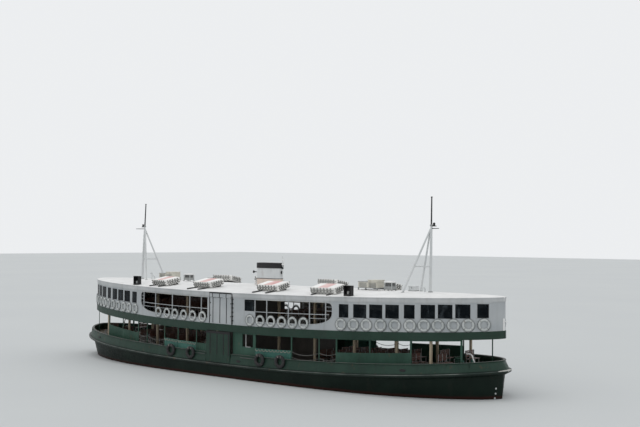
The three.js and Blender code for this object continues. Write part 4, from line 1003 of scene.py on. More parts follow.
def build_gangway_hood(name, side):
    """Carries an upper gangway's lines up over the roof's edge, under a black bar."""
    shape = Shape("wall")
    x0, x1 = UPPER_GANGWAY["x0"], UPPER_GANGWAY["x1"]
    y, low, high = HOOD["y"], HOOD["low"], HOOD["high"]
    shape.box(x0 + 0.01, x1 - 0.01, *span(side, y - 0.06, y + 0.01), low, high)
    # The black ribs carry the leaf's painted shade of its gaps up over the roof's edge
    for x, wide in UPPER_LEAF["ribs"]:
        shape.box(x - wide / 2, x + wide / 2, *span(side, y - 0.05, y + 0.016), low + 0.002, high, "black")
    shape.box(x0 - 0.02, x1 + 0.02, *span(side, y - 0.06, y + 0.02), high, high + HOOD["bar"], "black")
    foot, out = sheer(UPPER_DECK, 0) + 0.01, UPPER_GANGWAY["y"] + 0.02
    gap, post = HOOD["gap"], HOOD["post"]
    for a, b in ((x0 - gap - post * 0.6, x0 - gap), (x1 + gap, x1 + gap + post)):
        shape.box(a, b, *span(side, out - 0.05, out), foot, high, "frame")
    for k in range(HOOD_STEPS["count"]):
        z = foot + HOOD_STEPS["first"] + HOOD_STEPS["pitch"] * k
        ys = span(side, out - 0.04, out + 0.015)
        shape.box(x1 + gap, x1 + HOOD_STEPS["out"], *ys, z, z + HOOD_STEPS["tall"], "black")
    piece(name, shape)


# Upper deck and its fascia


def build_upper_deck():
    shape = Shape("fascia")
    inner, top_edge = DECK_EDGE.grown(-0.1, -0.16), DECK_EDGE.grown(-0.03)
    foot, top, ceiling = along(FASCIA_FOOT), along(UPPER_DECK), along(CEILING)
    side = [(DECK_EDGE, foot), (DECK_EDGE, along(UPPER_DECK, -0.03)), (top_edge, top)]
    inside = [(inner, foot), (inner, ceiling)]
    section = [(outline, 1, flat(height)) for outline, height in side]
    section += [(top_edge, share / 3, flat(top)) for share in (2, 1, 0, -1, -2)]
    section += [(outline, -1, flat(height)) for outline, height in reversed(side)]
    section += [(outline, -1, flat(height)) for outline, height in inside]
    section += [(outline, 1, flat(height)) for outline, height in reversed(inside)]
    shape.loft(across_ship(section), paints=["fascia"] * 11 + ["cap_rail", "cream", "cap_rail", "fascia"])
    for i in range(-17, 18):
        x = i * DECK_BEAM_PITCH
        y = inner.breadth(x) - 0.02
        if y > 0.5:
            z = sheer(CEILING, x)
            shape.box(x - 0.03, x + 0.03, -y, y, z - 0.09, z + 0.01, "cream")
    piece("upper_deck_beamed", shape, stands_for=["upper_deck"])


# Upper walls


def bay_edges(end, x):
    """Lowest and highest point of the open bay at x."""
    start, half_wall, sweep, last = BAY[end]
    low = sheer(UPPER_DECK, sweep) + BAY_KICK
    mid = sheer(UPPER_DECK, 0) + BAY_KICK
    high = sheer(ROOF_FOOT, start) - BAY_HEAD
    if x < half_wall:
        bottom = sheer(RAIL_TOP, start)
    elif x < sweep:
        bottom = mid + (low - mid) * (x - half_wall) / (sweep - half_wall)
    else:
        t = 1 - max(0, (last - x) / (last - sweep)) ** 0.5
        sweep_top = low + BAY_SWEEP_TOP - BAY_KICK
        bottom = (1 - t) ** 2 * low + 2 * t * (1 - t) * (low + 0.06) + t * t * sweep_top
    corner = last - BAY_CORNER
    if x < corner:
        return bottom, high + BAY_RISE * (x - start) / (corner - start)
    t = 1 - max(0, (last - x) / BAY_CORNER) ** 0.5
    return bottom, high + BAY_RISE - BAY_CORNER * t * t


def wall_points(x0, x1, steps):
    """Stations along the upper wall, evenly spaced by the outline's angle."""
    return [UPPER.at(angle)[0] for angle in spread(UPPER.angle(x0), UPPER.angle(x1), steps)]


def wall_slab(shape, end, side, xs, low, high, out=0.0, thick=0.05, paint=None):
    """A slab of the upper wall through the given stations, its thickness square to the outline."""
    rings = []
    for x in xs:
        turn = UPPER.turn(x) if x < UPPER.reach - 0.06 else radians(80)
        across = Vector((-sin(turn), -cos(turn)))
        edge = Vector((x, UPPER.breadth(x))) - across * out
        back = edge + across * thick
        corners = [(edge, low(x)), (edge, high(x)), (back, high(x)), (back, low(x))]
        rings.append([(end * p.x, side * p.y, z) for p, z in corners])
    shape.loft(rings, paint=paint)


def build_upper_wall(name, end):
    # The upper walls take the darkened white, in which their shade is painted
    shape, glass = Shape("wall"), Shape("glass")
    foot, head = along(UPPER_DECK, 0.002), along(ROOF_FOOT, -0.002)
    bay_start, half_wall, _, bay_end = BAY[end]
    start = UPPER_GANGWAY["x1"] + GANGWAY_GAP
    for side in (1, -1):
        wall_slab(shape, end, side, wall_points(start, bay_start, 6), foot, head)
        build_bay_side(shape, end, side)
        if half_wall > bay_start:
            add_bay_pane(shape, glass, end, side)
        edge = bay_end
        for x0, x1 in END_WINDOWS:
            x = (x0 + x1) / 2
            sill, top = sheer(WINDOW_SILL, x), sheer(WINDOW_HEAD, x)
            xs = wall_points(x0, x1, WINDOW_STEPS)
            wall_slab(shape, end, side, wall_points(edge, x0, 4), foot, head)
            wall_slab(shape, end, side, xs, foot, level(sill))
            wall_slab(shape, end, side, xs, level(top), head)
            add_window(shape, glass, end, side, x0, x1, sill, top)
            edge = x1
        add_moulding(shape, end, side, start)
    add_nose(shape, end, foot, head)
    piece("upper_wall_" + name + "_framed", shape, stands_for=["upper_wall_" + name])
    piece("window_glass_" + name, glass)


def add_nose(shape, end, foot, head):
    """The wall round the very end, and a white post before it with a small bracket that points ahead."""
    nose = UPPER.angle(END_WINDOWS[-1][1])
    inner = UPPER.grown(-0.05, -0.075)
    rings = []
    for angle in spread(nose, pi - nose, 24):
        x, y = UPPER.at(angle)
        ix, iy = inner.at(angle)
        corners = [(x, y, foot(x)), (x, y, head(x)), (ix, iy, head(x)), (ix, iy, foot(x))]
        rings.append([(end * px, py, z) for px, py, z in corners])
    shape.loft(rings)
    x, z = end * UPPER.reach, sheer(UPPER_DECK, UPPER.reach)
    tip = x + end * 0.16
    shape.bar((x, 0, z + 0.01), (x, 0, z + 0.6), 0.06, sides=16, paint="roof")
    shape.lathe(NOSE_CAP, (x, 0, z + 0.6), paint="roof")
    shape.bar((x, 0, z + 0.5), (tip, 0, z + 0.46), 0.022, paint="roof")
    shape.bar((tip, 0, z + 0.42), (tip, 0, z + 0.52), 0.03, sides=12, paint="roof")


def add_bay_pane(shape, glass, end, side):
    """The fixed pane over the half wall at the start of an open bay, with its upright."""
    x0, x1 = BAY[end][:2]
    low, high = (level(z) for z in bay_edges(end, x0))
    wall_slab(glass, end, side, wall_points(x0 + 0.01, x1 - 0.04, 4), low, high, *PANE)
    wall_slab(shape, end, side, [x1 - 0.04, x1], low, high, paint="edge")


def add_moulding(shape, end, side, start):
    """A shallow strake along the wall's foot and a rail under the roof."""
    xs = wall_points(start, 16.3, 60)
    wall_slab(shape, end, side, xs, along(UPPER_DECK, 0.002), along(UPPER_DECK, 0.03), 0.012, 0.04)
    wall_slab(shape, end, side, xs, along(ROOF_FOOT, -0.05), along(ROOF_FOOT, -0.002), 0.014, 0.04, "edge")


def add_window(shape, glass, end, side, x0, x1, sill, top):
    """A pane set back in its opening, with a thin dark frame and a drip ledge."""
    wide = WINDOW_BAR
    uprights = [([a, a + wide], sill, top) for a in (x0, x1 - wide)]
    across = [(wall_points(x0, x1, WINDOW_STEPS), a, a + wide) for a in (sill, top - wide)]
    for xs, low, high in uprights + across:
        wall_slab(shape, end, side, xs, level(low), level(high), -0.004, 0.046, "frame")
    xs = wall_points(x0 - 0.02, x1 + 0.02, WINDOW_STEPS)
    wall_slab(shape, end, side, xs, level(sill - 0.016), level(sill), 0.014, 0.03)
    xs = wall_points(x0 + wide, x1 - wide, WINDOW_STEPS)
    wall_slab(glass, end, side, xs, level(sill + wide), level(top - wide), *PANE)


def build_bay_side(shape, end, side):
    """The wall round an open bay: kick, sweep, head beam, edge trim, posts, rails and ladder."""
    start, half_wall, sweep, last = BAY[end]
    foot, head = along(UPPER_DECK, 0.002), along(ROOF_FOOT, -0.002)
    low = lambda x: bay_edges(end, x)[0]
    high = lambda x: bay_edges(end, x)[1]
    spans = [(start, half_wall - 1e-4, 4), (half_wall, sweep, 10)]
    curve = [last - (last - sweep) * (1 - i / 22) ** 2 for i in range(23)]
    corner = [last - BAY_CORNER * (1 - i / 12) ** 2 for i in range(13)]
    for xs in [wall_points(a, b, n) for a, b, n in spans if b > a] + [curve]:
        wall_slab(shape, end, side, xs, foot, low)
        wall_slab(shape, end, side, xs, lambda x: low(x) - 0.03, low, 0.012, 0.07, "edge")
    for xs in (wall_points(start, last - BAY_CORNER, 14), corner):
        wall_slab(shape, end, side, xs, high, head)
        wall_slab(shape, end, side, xs, high, lambda x: high(x) + 0.03, 0.012, 0.07, "edge")
    posts = BAY_POSTS[end]
    for x in posts:
        y = UPPER.breadth(x) - 0.005
        bottom, top = sheer(UPPER_DECK, x) + 0.15, sheer(ROOF_FOOT, x) - 0.04
        shape.box(end * x - 0.025, end * x + 0.025, *span(side, y, y - 0.04), bottom, top)
    add_rail(shape, end, side, half_wall - 0.06, last - 0.2, along(RAIL_TOP, -0.025), 0.022)
    add_rail(shape, end, side, posts[2], last - 0.32, along(UPPER_DECK, 0.62), 0.016)
    for lift in BAY_RUNGS:
        z = sheer(UPPER_DECK, posts[-1]) + lift
        a, b = ((end * x, side * (UPPER.breadth(x) - RAIL_INSET), z) for x in (posts[-1], last + 0.02))
        shape.bar(a, b, 0.016)
    # A weather blind rolled up under the bay's head, drawn in by its ties
    radii = [0.045 if i % 8 == 4 else 0.058 for i in range(41)]
    roll = {"steps": 40, "into": 0.13, "sides": 10, "paint": "canvas"}
    add_rail(shape, end, side, start + 0.1, last - 0.45, along(ROOF_FOOT, -0.1), radii, **roll)


def add_rail(shape, end, side, x0, x1, height, radii, steps=14, into=RAIL_INSET, sides=8, paint=None):
    """A rail or a roll that follows the upper side."""
    path = [(end * x, side * (UPPER.breadth(x) - into), height(x)) for x in spread(x0, x1, steps)]
    shape.pipe(path, radii, sides, paint=paint)


# Life rings


def build_life_rings(name, end, side):
    shape = Shape("ring")
    small = (LIFE_RING["out"] - LIFE_RING["hole"]) / 2
    big = LIFE_RING["out"] - small
    thick, band = LIFE_RING["half_thick"], LIFE_RING["band"]
    tube = lambda proud: [(big + (small + proud) * cos(u), (thick + proud) * sin(u)) for u in circle(10)]
    line = []
    for t in circle(48):
        slack = 0.012 + 0.022 * abs(sin(2 * (t - radians(45))))
        line += spun([(big + small + slack - 0.006, 0.012)], t)
    for x in END_RING_XS + BAY_RING_XS[end]:
        first = len(shape.points)
        shape.loft([spun(tube(0), t) for t in circle(30)], True)
        for k in range(4):
            middle = radians(45 + 90 * k)
            shape.loft([spun(tube(0.004), t) for t in (middle - band, middle + band)], paints=["grey"] * 10)
        shape.pipe(line, 0.011, 5, True, "grab_line")
        z = sheer(UPPER_DECK, x) + LIFE_RING["lift"]
        shape.move(first, beside(UPPER, end, side, x, LIFE_RING["proud"], z, 90))
    piece("life_rings_" + name, shape)


# Roof and what stands on it


def build_roof():
    shape = Shape("roof")
    half = [1, 0.985, 0.9, 0.75, 0.6, 0.4, 0.2]
    shares = half + [0] + [-share for share in reversed(half)]
    foot, lip = flat(along(ROOF_FOOT)), flat(along(ROOF_EDGE, -0.05))
    inner = ROOF_LINE.grown(-0.02)
    section = [(ROOF_LINE, share, roof_top) for share in shares]
    section += [(ROOF_LINE, -1, lip), (inner, -1, lip), (inner, -1, foot)]
    section += [(inner, 1, foot), (inner, 1, lip), (ROOF_LINE, 1, lip)]
    shape.loft(across_ship(section), paints=["roof"] * 14 + ["edge"] * 3 + ["cream"] + ["edge"] * 3)
    for i in range(-8, 9):
        add_roof_seam(shape, i * ROOF_SEAM_PITCH)
    for end in (1, -1):
        for row in LIGHT_BOXES:
            add_light_box(shape, end, row)
    piece("roof_sheeted", shape, stands_for=["roof"])


def add_roof_seam(shape, x):
    """A lapped joint of the roof sheets, from edge to edge."""
    half = ROOF_LINE.breadth(x) - 0.04
    section = [(-0.02, -0.004), (-0.014, 0.006), (0.014, 0.006), (0.02, -0.004)]
    shape.loft([[(x + dx, y, roof_top(x, y) + dz) for dx, dz in section] for y in spread(-half, half, 18)])


def add_light_box(shape, end, row):
    """The screen of a side light: a box, open in front, with its lamp."""
    side, x, tall, back_paint = row
    low = roof_top(x, LIGHT_BOX["y"]) - 0.02
    top, sill = low + 0.02 + tall, low + LIGHT_BOX["sill"]
    x0, x1 = end * x - LIGHT_BOX["long"] / 2, end * x + LIGHT_BOX["long"] / 2
    half, wall = LIGHT_BOX["wide"] / 2, LIGHT_BOX["wall"]
    layer = lambda a, b: span(side, LIGHT_BOX["y"] + a, LIGHT_BOX["y"] + b)
    back = wall / 2 - half
    shape.box(x0, x1, *layer(-half, back), low, top, back_paint)
    shape.box(x0 + wall, x1 - wall, *layer(back, wall - half), low, top - wall, "black")
    shape.box(x0, x1, *layer(back, half), top - wall, top, back_paint)
    shape.box(x0, x1, *layer(back, half), low, sill, "black")
    for a in (x0, x1 - wall):
        shape.box(a, a + wall, *layer(back, half), sill, top - wall, back_paint)
    shape.lathe(SIDE_LAMP, (end * x, side * (LIGHT_BOX["y"] + 0.02), sill), paint="grey")


def raft_place(x, side, z, lean):
    """From a raft's own frame to the ship's: leaning outwards, and turned with the roof's edge."""
    near, far = abs(x) - RAFT["long"] / 2, abs(x) + RAFT["long"] / 2
    turn = copysign(atan2(ROOF_LINE.breadth(near) - ROOF_LINE.breadth(far), RAFT["long"]), x)
    place = Matrix.Translation((x, side * RAFT_Y, z))
    return place @ Matrix.Rotation(-side * turn, 4, "Z") @ Matrix.Rotation(-side * lean, 4, "X")


def raft_ring(into, z):
    """A raft's outline with its corners cut, drawn in from its full size."""
    a, b = RAFT["long"] / 2 - into, RAFT["wide"] / 2 - into
    c, d = a - RAFT["edge"], b - RAFT["edge"]
    corners = [(a, -d), (a, d), (c, b), (-c, b), (-a, d), (-a, -d), (-c, -b), (c, -b)]
    return [(x, y, z) for x, y in corners]


def build_raft(name, x, side):
    """A buoyant raft: a bevelled block, slats on top with a faded pink band, and looped grab lines."""
    long, wide, deep, edge = RAFT["long"], RAFT["wide"], RAFT["deep"], RAFT["edge"]
    reach = wide / 2
    shape = Shape("raft_side")
    levels = [(edge, 0), (0.02, 0.025), (0, edge)]
    levels += [(0, deep - edge), (0.02, deep - 0.025), (edge, deep - 0.004)]
    shape.loft([raft_ring(into, z) for into, z in levels])
    pitch = (wide - 2 * edge) / RAFT["slats"]
    far, band = long / 2 - edge, long * RAFT["band"]
    for i in range(RAFT["slats"]):
        y0 = -reach + edge + i * pitch
        for a, b, paint in ((-far, -band, "raft"), (-band, band, "raft_band"), (band, far, "raft")):
            shape.box(a, b, y0 + 0.003, y0 + pitch - 0.003, deep - 0.02, deep - 0.001, paint)
    for below, drop in BECKETS:
        add_beckets(shape, long / 2, reach, deep - below, drop)
    foot = roof_top(x, RAFT_Y + reach) + RAFT["skid"] + reach * sin(RAFT["tilt"])
    shape.move(0, raft_place(x, side, foot, RAFT["tilt"]))
    slope = atan2(roof_top(x, RAFT_Y - reach) - roof_top(x, RAFT_Y + reach), wide)
    first = len(shape.points)
    for place in (-0.3 * long, 0.3 * long):
        add_raft_rail(shape, x, side, place)
    shape.move(first, raft_place(x, side, roof_top(x, RAFT_Y) + RAFT["skid"], slope))
    piece(name + "_slatted", shape, stands_for=[name])


def add_raft_rail(shape, x, side, place):
    """A rail that runs out to the roof's edge, its stop, and the chock that lifts the raft's inner side."""
    reach, half, low = RAFT["wide"] / 2, RAFT["rail"] / 2, -RAFT["skid"] - 0.004
    out = min(reach + RAFT["rail_out"], ROOF_LINE.breadth(abs(x) + abs(place)) - 0.15 - RAFT_Y)
    inner = reach - 0.03
    # Share of the rail's width, from, to, low, high, paint
    for share, a, b, z0, z1, paint in (
        (1, -inner, out, low, 0.02, "black"),
        (0.4, -inner, out, 0.02, 0.038, "frame"),
        (1, -inner, RAFT["chock"] - inner, low, 0.14, "frame"),
        (0.8, reach + 0.04, reach + 0.08, 0.02, 0.037, "grey"),
    ):
        shape.box(place - half * share, place + half * share, *span(side, a, b), z0, z1, paint)


def add_beckets(shape, half_long, half_wide, top, drop):
    """A rope round a raft, made fast every fifth of a metre and slack between."""
    corners = [(a * half_long, b * half_wide) for a, b in ((1, -1), (1, 1), (-1, 1), (-1, -1))]
    loop = []
    for a, b in zip(corners, corners[1:] + corners[:1]):
        a, b = Vector(a), Vector(b)
        way = (b - a).normalized()
        away = Vector((way.y, -way.x)) * 0.012
        a, b = a + way * 0.08, b - way * 0.08
        steps = max(1, round((b - a).length / 0.21)) * 4
        for i in range(steps):
            share = i % 4 / 4
            p = a + (b - a) * i / steps + away
            loop.append((p.x, p.y, top - 4 * drop * share * (1 - share)))
            if i % 4 == 0:
                shape.inset((p.x, p.x, p.y, p.y), -0.022, top - 0.025, top + 0.025, "dark_rope")
    shape.pipe(loop, 0.017, 5, True, "dark_rope")


def gear_box(row):
    """Foot, height and edges of a piece of gear on the roof."""
    _, x, y, long, wide, tall, legs = row
    return roof_top(x, y) + legs, tall, (x - long / 2, x + long / 2, y - wide / 2, y + wide / 2)


def build_roof_vent(row):
    """A two-level ventilator housing on legs, with louvres in its sides and lids on top."""
    name, x = row[:2]
    shape = Shape("vent")
    foot, tall, edges = gear_box(row)
    x0, x1, y0, y1 = edges
    into, leg = 0.02, 0.06
    top, high = foot + tall, foot + tall + VENT_RAISED
    shape.inset(edges, into, foot, top - 0.03)
    shape.box(x + into, x1 - into, y0 + into, y1 - into, top - 0.04, high - 0.03)
    shape.box(x0, x - 0.005, y0, y1, top - 0.03, top, "grey")
    shape.box(x, x1, y0, y1, high - 0.03, high, "vent")
    shape.inset(edges, 0, foot, foot + 0.04, "grey")
    for y in (y0, y1 - into):
        for k in range(6):
            z = foot + 0.07 + k * 0.043
            for a, b in ((x0 + 0.1, x - 0.08), (x + 0.08, x1 - 0.1)):
                shape.box(a, b, y, y + into, z, z + 0.016, "grey")
    for px in (x0, x1 - leg):
        for py in (y0, y1 - leg):
            shape.box(px, px + leg, py, py + leg, roof_top(px, py) - 0.02, foot, "grey")
    piece(name + "_louvred", shape, stands_for=[name])


def build_roof_fan(row):
    """A fan housing: a pale lid over a louvred band on a grey base, with a black core behind the louvres as
    painted shade inside.
    """
    name = row[0]
    shape = Shape("grey")
    foot, tall, edges = gear_box(row)
    x0, x1, y0, y1 = edges
    lid, top = foot + tall - 0.07, foot + tall
    shape.inset(edges, 0.03, foot, foot + 0.16)
    # A black core behind the louvres: painted shade of the housing's inside
    shape.inset(edges, 0.06, foot + 0.16, lid, "black")
    for k in range(5):
        z = foot + 0.17 + k * 0.042
        shape.inset(edges, 0.02, z, z + 0.012)
    for px in (x0 + 0.01, x1 - 0.04):
        for py in (y0 + 0.01, y1 - 0.04):
            shape.box(px, px + 0.03, py, py + 0.03, foot, top - 0.06, "ring")
            shape.box(px - 0.01, px + 0.05, py - 0.01, py + 0.04, roof_top(px, py) - 0.02, foot)
    shape.inset(edges, 0, lid, top, "roof")
    piece(name + "_louvred", shape, stands_for=[name])


def build_roof_locker(row):
    """A small white deck box with a lid, hinges and a hasp."""
    name, x = row[:2]
    shape = Shape("white")
    foot, tall, edges = gear_box(row)
    y0, y1 = edges[2:]
    top = foot + tall
    shape.inset(edges, 0.015, foot, top - 0.05)
    shape.inset(edges, 0, top - 0.05, top)
    shape.inset(edges, 0, foot - row[-1] - 0.02, foot + 0.01, "grey")
    for px in (x - 0.13, x + 0.13):
        shape.box(px - 0.02, px + 0.02, y1 - 0.015, y1, top - 0.12, top - 0.04, "grey")
    shape.box(x - 0.02, x + 0.02, y0, y0 + 0.015, top - 0.14, top - 0.04, "grey")
    piece(name + "_lidded", shape, stands_for=[name])


def build_vent_pipes():
    """A low and a tall goose-neck air pipe on the roof beside each mast's feet."""
    shape = Shape("white")
    for end in (1, -1):
        for x, y, rise, bend, r in ROOF_PIPES:
            add_goose_neck(shape, end * x, y, rise, bend, r)
    piece("roof_air_pipes", shape)


def add_goose_neck(shape, x, y, rise, bend, r):
    z = roof_top(x, y)
    path = [(x, y, z - 0.02)]
    path += [(x, y - bend + bend * cos(t), z + rise + bend * sin(t)) for t in spread(0, pi, 8)]
    path.append((x, y - 2 * bend, z + rise - 0.05))
    shape.pipe(path, r, 12)
    collar = [(0.02, 0), (r + 0.04, 0), (r + 0.04, 0.02), (r, 0.03), (r, 0.05)]
    shape.lathe(collar, (x, y, z - 0.005), 12)


# Funnel and masts


def funnel_ring(out, z):
    """The funnel's outline: a half circle at each end."""
    r, half = FUNNEL["wide"] / 2 + out, (FUNNEL["long"] - FUNNEL["wide"]) / 2
    fore = [(half + r * cos(t), r * sin(t), z) for t in spread(-pi / 2, pi / 2, 12)]
    return fore + [(-x, -y, z) for x, y, z in fore]


def build_funnel():
    shape = Shape("white")
    top, out, line = FUNNEL["top"], FUNNEL["cap_out"], FUNNEL["line"]
    cap, floor = top - FUNNEL["cap"], top - FUNNEL["mouth"]
    low = roof_top(FUNNEL["long"] / 2, FUNNEL["wide"] / 2) - 0.03
    # How far out, z, paint of the band above
    levels = [
        (0.02, low, "grey"),
        (0.02, low + 0.07, "funnel_cream"),
        (0, low + 0.075, "funnel_cream"),
        (0, line - 0.02, "black"),
        (0.006, line - 0.018, "black"),
        (0.006, line + 0.018, "black"),
        (0, line + 0.02, "white"),
        (0, cap, "black"),
        (out, cap + 0.005, "black"),
        (out, top - 0.02, "black"),
        (out - 0.02, top, "black"),
        (-0.09, top, "black"),
        (-0.09, floor, "black"),
    ]
    for (out0, z0, paint), (out1, z1, _) in zip(levels, levels[1:]):
        shape.loft([funnel_ring(out0, z0), funnel_ring(out1, z1)], caps=False, paint=paint)
    mouth = funnel_ring(-0.09, floor)
    shape.add(mouth, [range(len(mouth))], "black")
    for x, r in UPTAKES:
        profile = [(r, 0), (r, 0.14), (r - 0.02, 0.145), (r - 0.025, 0.05), (0.01, 0.05)]
        shape.lathe(profile, (x, 0, floor), 20, "black")
    add_funnel_pole(shape)
    add_funnel_ladder(shape, low)
    piece("funnel_banded", shape, stands_for=["funnel"])


def add_funnel_pole(shape):
    """The slim pole at the fore end, with its lamps and a dish."""
    x, r, top = FUNNEL_POLE["x"], FUNNEL_POLE["r"], FUNNEL_POLE["top"]
    shape.bar((x, 0, FUNNEL_POLE["ties"][0] - 0.08), (x, 0, top), r, r * 0.7)
    for z in FUNNEL_POLE["ties"]:
        shape.bar((FUNNEL["long"] / 2 - 0.03, 0, z), (x, 0, z), 0.018, sides=8)
    for below, paint in POLE_LAMPS:
        shape.lathe(BULB, (x, 0, top - below), paint=paint)
    shape.lathe(DISH, Matrix.Translation((0.97, 0, HORN_Z)) @ tilted("Y", 90), paint="black")


def add_funnel_ladder(shape, low):
    """Grab irons up the aft end of the funnel, a horn and a small cowl at its foot."""
    x = -FUNNEL["long"] / 2
    shape.lathe(HORN, Matrix.Translation((x + 0.02, -0.2, HORN_Z)) @ tilted("Y", -90), paint="frame")
    z = roof_top(x - 0.2, 0)
    shape.bar((x - 0.16, -0.1, z - 0.01), (x - 0.16, -0.1, z + 0.16), 0.05, sides=14, paint="roof")
    shape.lathe(COWL, (x - 0.16, -0.1, z + 0.14), paint="roof")
    for k in range(4):
        z = low + 0.3 + k * 0.28
        iron = [(0.02, -0.13), (-0.02, -0.13), (-0.02, 0.13), (0.02, 0.13)]
        shape.pipe([(x + dx, y, z) for dx, y in iron], 0.011, 6)


def build_mast(name, end):
    """A mast with two raking legs, a ladder of irons, a short arm, and a lamp on a shelf."""
    shape = Shape("white")
    m = MAST
    foot = roof_top(m["foot"][end], 0) - 0.02
    rake = m["lean"][end] / (m["top"] - foot)
    at = lambda z, out=0.0, y=0.0: (end * (m["foot"][end] + rake * (z - foot) + out), y, z)
    top, brace = at(m["leg_top"], -m["leg_in"]), m["brace"]
    shape.bar(at(foot), at(m["head"]), m["r"], m["head_r"], 18)
    shape.bar(at(m["head"] - 0.1), at(m["top"] - 0.01), 0.045, 0.036, 12, "frame")
    shape.lathe(POLE_CAP, at(m["top"] - 0.07), 12, "frame")
    leg_x = end * m["foot_x"]
    for side in (1, -1):
        y, z = side * m["foot_y"], roof_top(m["foot_x"], m["foot_y"]) - 0.02
        shape.bar((leg_x, y, z), top, 0.056, 0.05, 12)
        shape.lathe(LEG_PLATE, (leg_x, y, z + 0.012), 14, "grey")
    share = (brace - foot) / (m["leg_top"] - foot)
    brace_x, brace_y = leg_x + (top[0] - leg_x) * share, m["foot_y"] * (1 - share)
    shape.bar((brace_x, -brace_y, brace), (brace_x, brace_y, brace), 0.035)
    shape.bar((brace_x, 0, brace), at(brace), 0.035)
    shape.bar(at(m["arm_z"]), at(m["arm_z"], m["arm"][end]), 0.025, 0.018, paint="frame")
    shape.bar(at(m["shelf_z"]), at(m["shelf_z"], m["shelf"]), 0.022, paint="frame")
    add_lantern(shape, at(m["shelf_z"] + 0.005, m["lamp_out"]), m["lamp_tall"] - 0.01)
    shape.lathe(MAST_COLLAR, at(m["head"] - 0.09), paint="grey")
    for k in range(10):
        z = foot + 0.5 + k * 0.28
        shape.bar(at(z, y=-0.14), at(z, y=0.14), 0.011, sides=6)
    shape.lathe(MAST_BASE, at(foot + 0.02), paint="grey")
    piece(name + "_rig", shape, stands_for=[name])


def add_lantern(shape, place, tall):
    """A ship's lantern: base, glass between guards, and a domed cap."""
    r, foot, mid = tall * 0.4, tall * 0.15, tall * 0.7
    for profile, paint in (
        ([(r * 0.4, 0), (r, 0.002), (r, foot)], "black"),
        ([(r * 0.8, foot), (r * 0.85, (foot + mid) / 2), (r * 0.8, mid)], "glass"),
        ([(r, mid), (r, mid + 0.01), (r * 0.7, tall * 0.9), (r * 0.2, tall)], "black"),
    ):
        shape.lathe(profile, place, 14, paint)


# Fittings of the decks


def build_benches(name, end, side, line, rows):
    """Slatted wooden benches on iron frames, tied together by a runner along the deck."""
    shape = Shape("slats")
    half, seat, runner = BENCH["deep"] / 2, BENCH["seat"], BENCH["runner"]
    near, far = BENCH["runner_y"]
    section = [(near, 0), (near, runner), (far, runner), (far, 0)]
    xs = spread(rows[0][0] - 0.3, rows[-1][0] + 0.3, 10)
    rings = [[(end * x, side * y, sheer(line, x) + 0.004 + dz) for y, dz in section] for x in xs]
    shape.loft(rings, paints=["grey"] * 4)
    for x, y0, y1 in rows:
        z = sheer(line, x + half) + 0.005
        ys = span(side, y0, y1)
        at = lambda a, b: span(end, x + a, x + b)
        for k in range(5):
            a = -half + 0.05 + k * 0.077
            shape.box(*at(a, a + 0.062), *ys, z + seat - 0.022, z + seat)
        for k in range(4):
            low = z + 0.5 + k * 0.093
            shape.box(*at(-half + 0.006, -half + 0.028), *ys, low, low + 0.075)
        # Iron frame: from, to, low, high
        frame_bars = [
            (-half + 0.028, -half + 0.05, 0.38, BENCH["back"]),
            (-half + 0.03, half - 0.04, seat - 0.06, seat - 0.022),
            (-half + 0.03, -half + 0.07, 0, 0.4),
            (half - 0.09, half - 0.05, 0, 0.4),
        ]
        for y in (y0 + 0.06, (y0 + y1) / 2, y1 - 0.06):
            for a, b, low, high in frame_bars:
                shape.box(*at(a, b), *span(side, y - 0.02, y + 0.02), z + low, z + high, "grey")
    piece(name + "_slatted", shape, stands_for=[name])


def build_mooring_gear(name, end):
    """A capstan and a pair of bollards on their bed plate."""
    shape = Shape("green")
    m = MOORING
    low = sheer(DECK, m["x"] + m["long"] / 2) - 0.01
    x, half, y = end * m["x"], m["long"] / 2, m["wide"] / 2
    shape.box(x - half, x + half, -y, y, low, low + m["bed"] * 0.8, "grey")
    foot, capstan_x = low + m["bed"] / 2, end * (m["x"] + m["capstan_x"])
    shape.lathe(CAPSTAN, (capstan_x, 0, foot), 28)
    for t in circle(6):
        cx, cy = capstan_x + 0.112 * cos(t), 0.112 * sin(t)
        shape.bar((cx, cy, foot + 0.14), (cx, cy, foot + 0.4), 0.014, sides=6)
    for side in (1, -1):
        place = (end * (m["x"] + m["bollard_x"]), side * m["bollard_y"], foot)
        shape.lathe(BOLLARD, place, 20, "teal")
    piece(name + "_turned", shape, stands_for=[name])


def build_deck_lamps():
    """Round lamps under the fascia of the open end decks."""
    shape = Shape("white")
    for end in (1, -1):
        for x, y in DECK_LAMPS:
            for side in (1, -1):
                shape.lathe(DECK_LAMP, (end * x, side * y, sheer(CEILING, x)))
    piece("deck_lamps", shape)


def build_hooked_pipes():
    """A white air pipe with a hooked head beside the mooring gear at each end."""
    shape = Shape("roof")
    for end in (1, -1):
        x, y = end * HOOKED_PIPE[0], -end * HOOKED_PIPE[1]
        z = sheer(DECK, x)
        shape.pipe([(x - end * into, y, z + up) for into, up in HOOK], 0.035, 10)
        shape.lathe(FLANGE, (x, y, z + 0.003))
    piece("deck_air_pipes", shape)


# Stage


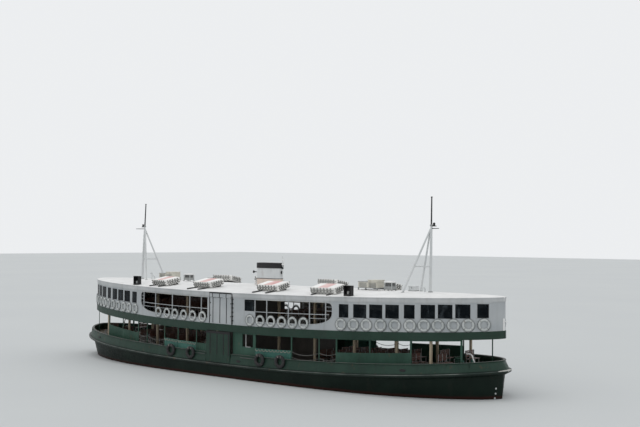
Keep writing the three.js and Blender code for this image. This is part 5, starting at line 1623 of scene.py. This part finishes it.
def build_stage():
    mesh = bpy.data.meshes.new("floor")
    far = 400
    mesh.from_pydata([(-far, -far, 0), (far, -far, 0), (far, far, 0), (-far, far, 0)], [], [(0, 1, 2, 3)])
    look = Look("floor")
    shade = look.mixed(look.between(look.noise(0.05, 3), 0.3, 0.7), (0.56, 0.58, 0.585), (0.58, 0.6, 0.6))
    mesh.materials.append(look.finish(shade, 0.9))
    floor = bpy.data.objects.new("floor", mesh)
    bpy.context.scene.collection.objects.link(floor)

    world = bpy.data.worlds.new("sky")
    bpy.context.scene.world = world
    world.use_nodes = True
    back = world.node_tree.nodes["Background"]
    back.inputs["Color"].default_value = (0.86, 0.875, 0.89, 1)
    back.inputs["Strength"].default_value = 0.98

    sun = bpy.data.lights.new("sun", "SUN")
    sun.energy = 0.35
    sun.angle = radians(40)
    sun.color = (1, 0.98, 0.95)
    lamp = bpy.data.objects.new("sun", sun)
    lamp.rotation_euler = (radians(14), radians(-16), 0)
    bpy.context.scene.collection.objects.link(lamp)
    bpy.context.scene.view_settings.view_transform = "Standard"


def build_camera():
    yaw, pitch, roll = CAMERA["yaw"], CAMERA["pitch"], CAMERA["roll"]
    forward = Vector((sin(yaw) * cos(pitch), cos(yaw) * cos(pitch), sin(pitch)))
    right = forward.cross(Vector((0, 0, 1))).normalized()
    up = right.cross(forward)
    right, up = cos(roll) * right + sin(roll) * up, cos(roll) * up - sin(roll) * right
    data = bpy.data.cameras.new("camera")
    data.sensor_width = 36
    data.lens = CAMERA["lens"]
    camera = bpy.data.objects.new("camera", data)
    turn = Matrix((right, up, -forward)).transposed().to_4x4()
    camera.matrix_world = Matrix.Translation(CAMERA["place"]) @ turn
    bpy.context.scene.collection.objects.link(camera)
    bpy.context.scene.camera = camera


def dress_kept_solids():
    for name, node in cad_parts.items():
        for start, paint in KEPT.items():
            if name.startswith(start):
                node.data.materials.clear()
                node.data.materials.append(PAINTS[paint])


build_camera()
build_stage()
build_hull()
build_planking("lower_deck_planking", SHELL.grown(-0.09, -0.12), DECK)
build_belting()
build_upper_deck()
build_planking("upper_deck_planking", UPPER.grown(-0.06, -0.1), UPPER_DECK)
build_roof()
build_funnel()
build_vent_pipes()
build_deck_lamps()
build_hooked_pipes()
for row in ROOF_VENTS:
    build_roof_vent(row)
for row in ROOF_FANS:
    build_roof_fan(row)
build_roof_locker(ROOF_LOCKER)
for end_name, end in ENDS:
    build_bulwark("bulwark_" + end_name, end)
    build_upper_wall(end_name, end)
    build_mast("mast_" + end_name, end)
    build_mooring_gear("mooring_gear_" + end_name, end)
    for side_name, side in SIDES:
        quarter = end_name + "_" + side_name
        build_side_frame("side_frame_" + quarter, end, side)
        build_life_rings(quarter, end, side)
        build_benches("benches_lower_" + quarter, end, side, DECK, LOWER_ROWS)
        build_benches("benches_upper_" + quarter, end, side, UPPER_DECK, UPPER_ROWS)
for side_name, side in SIDES:
    build_gangway("gangway_lower_" + side_name, side, LOWER_GANGWAY, DECK, LOWER_LEAF)
    build_gangway("gangway_upper_" + side_name, side, UPPER_GANGWAY, UPPER_DECK, UPPER_LEAF)
    build_gangway_hood("gangway_hood_" + side_name, side)
    for number, x in enumerate(RAFT_XS, 1):
        build_raft("raft_" + side_name + "_" + str(number), x, side)
dress_kept_solids()
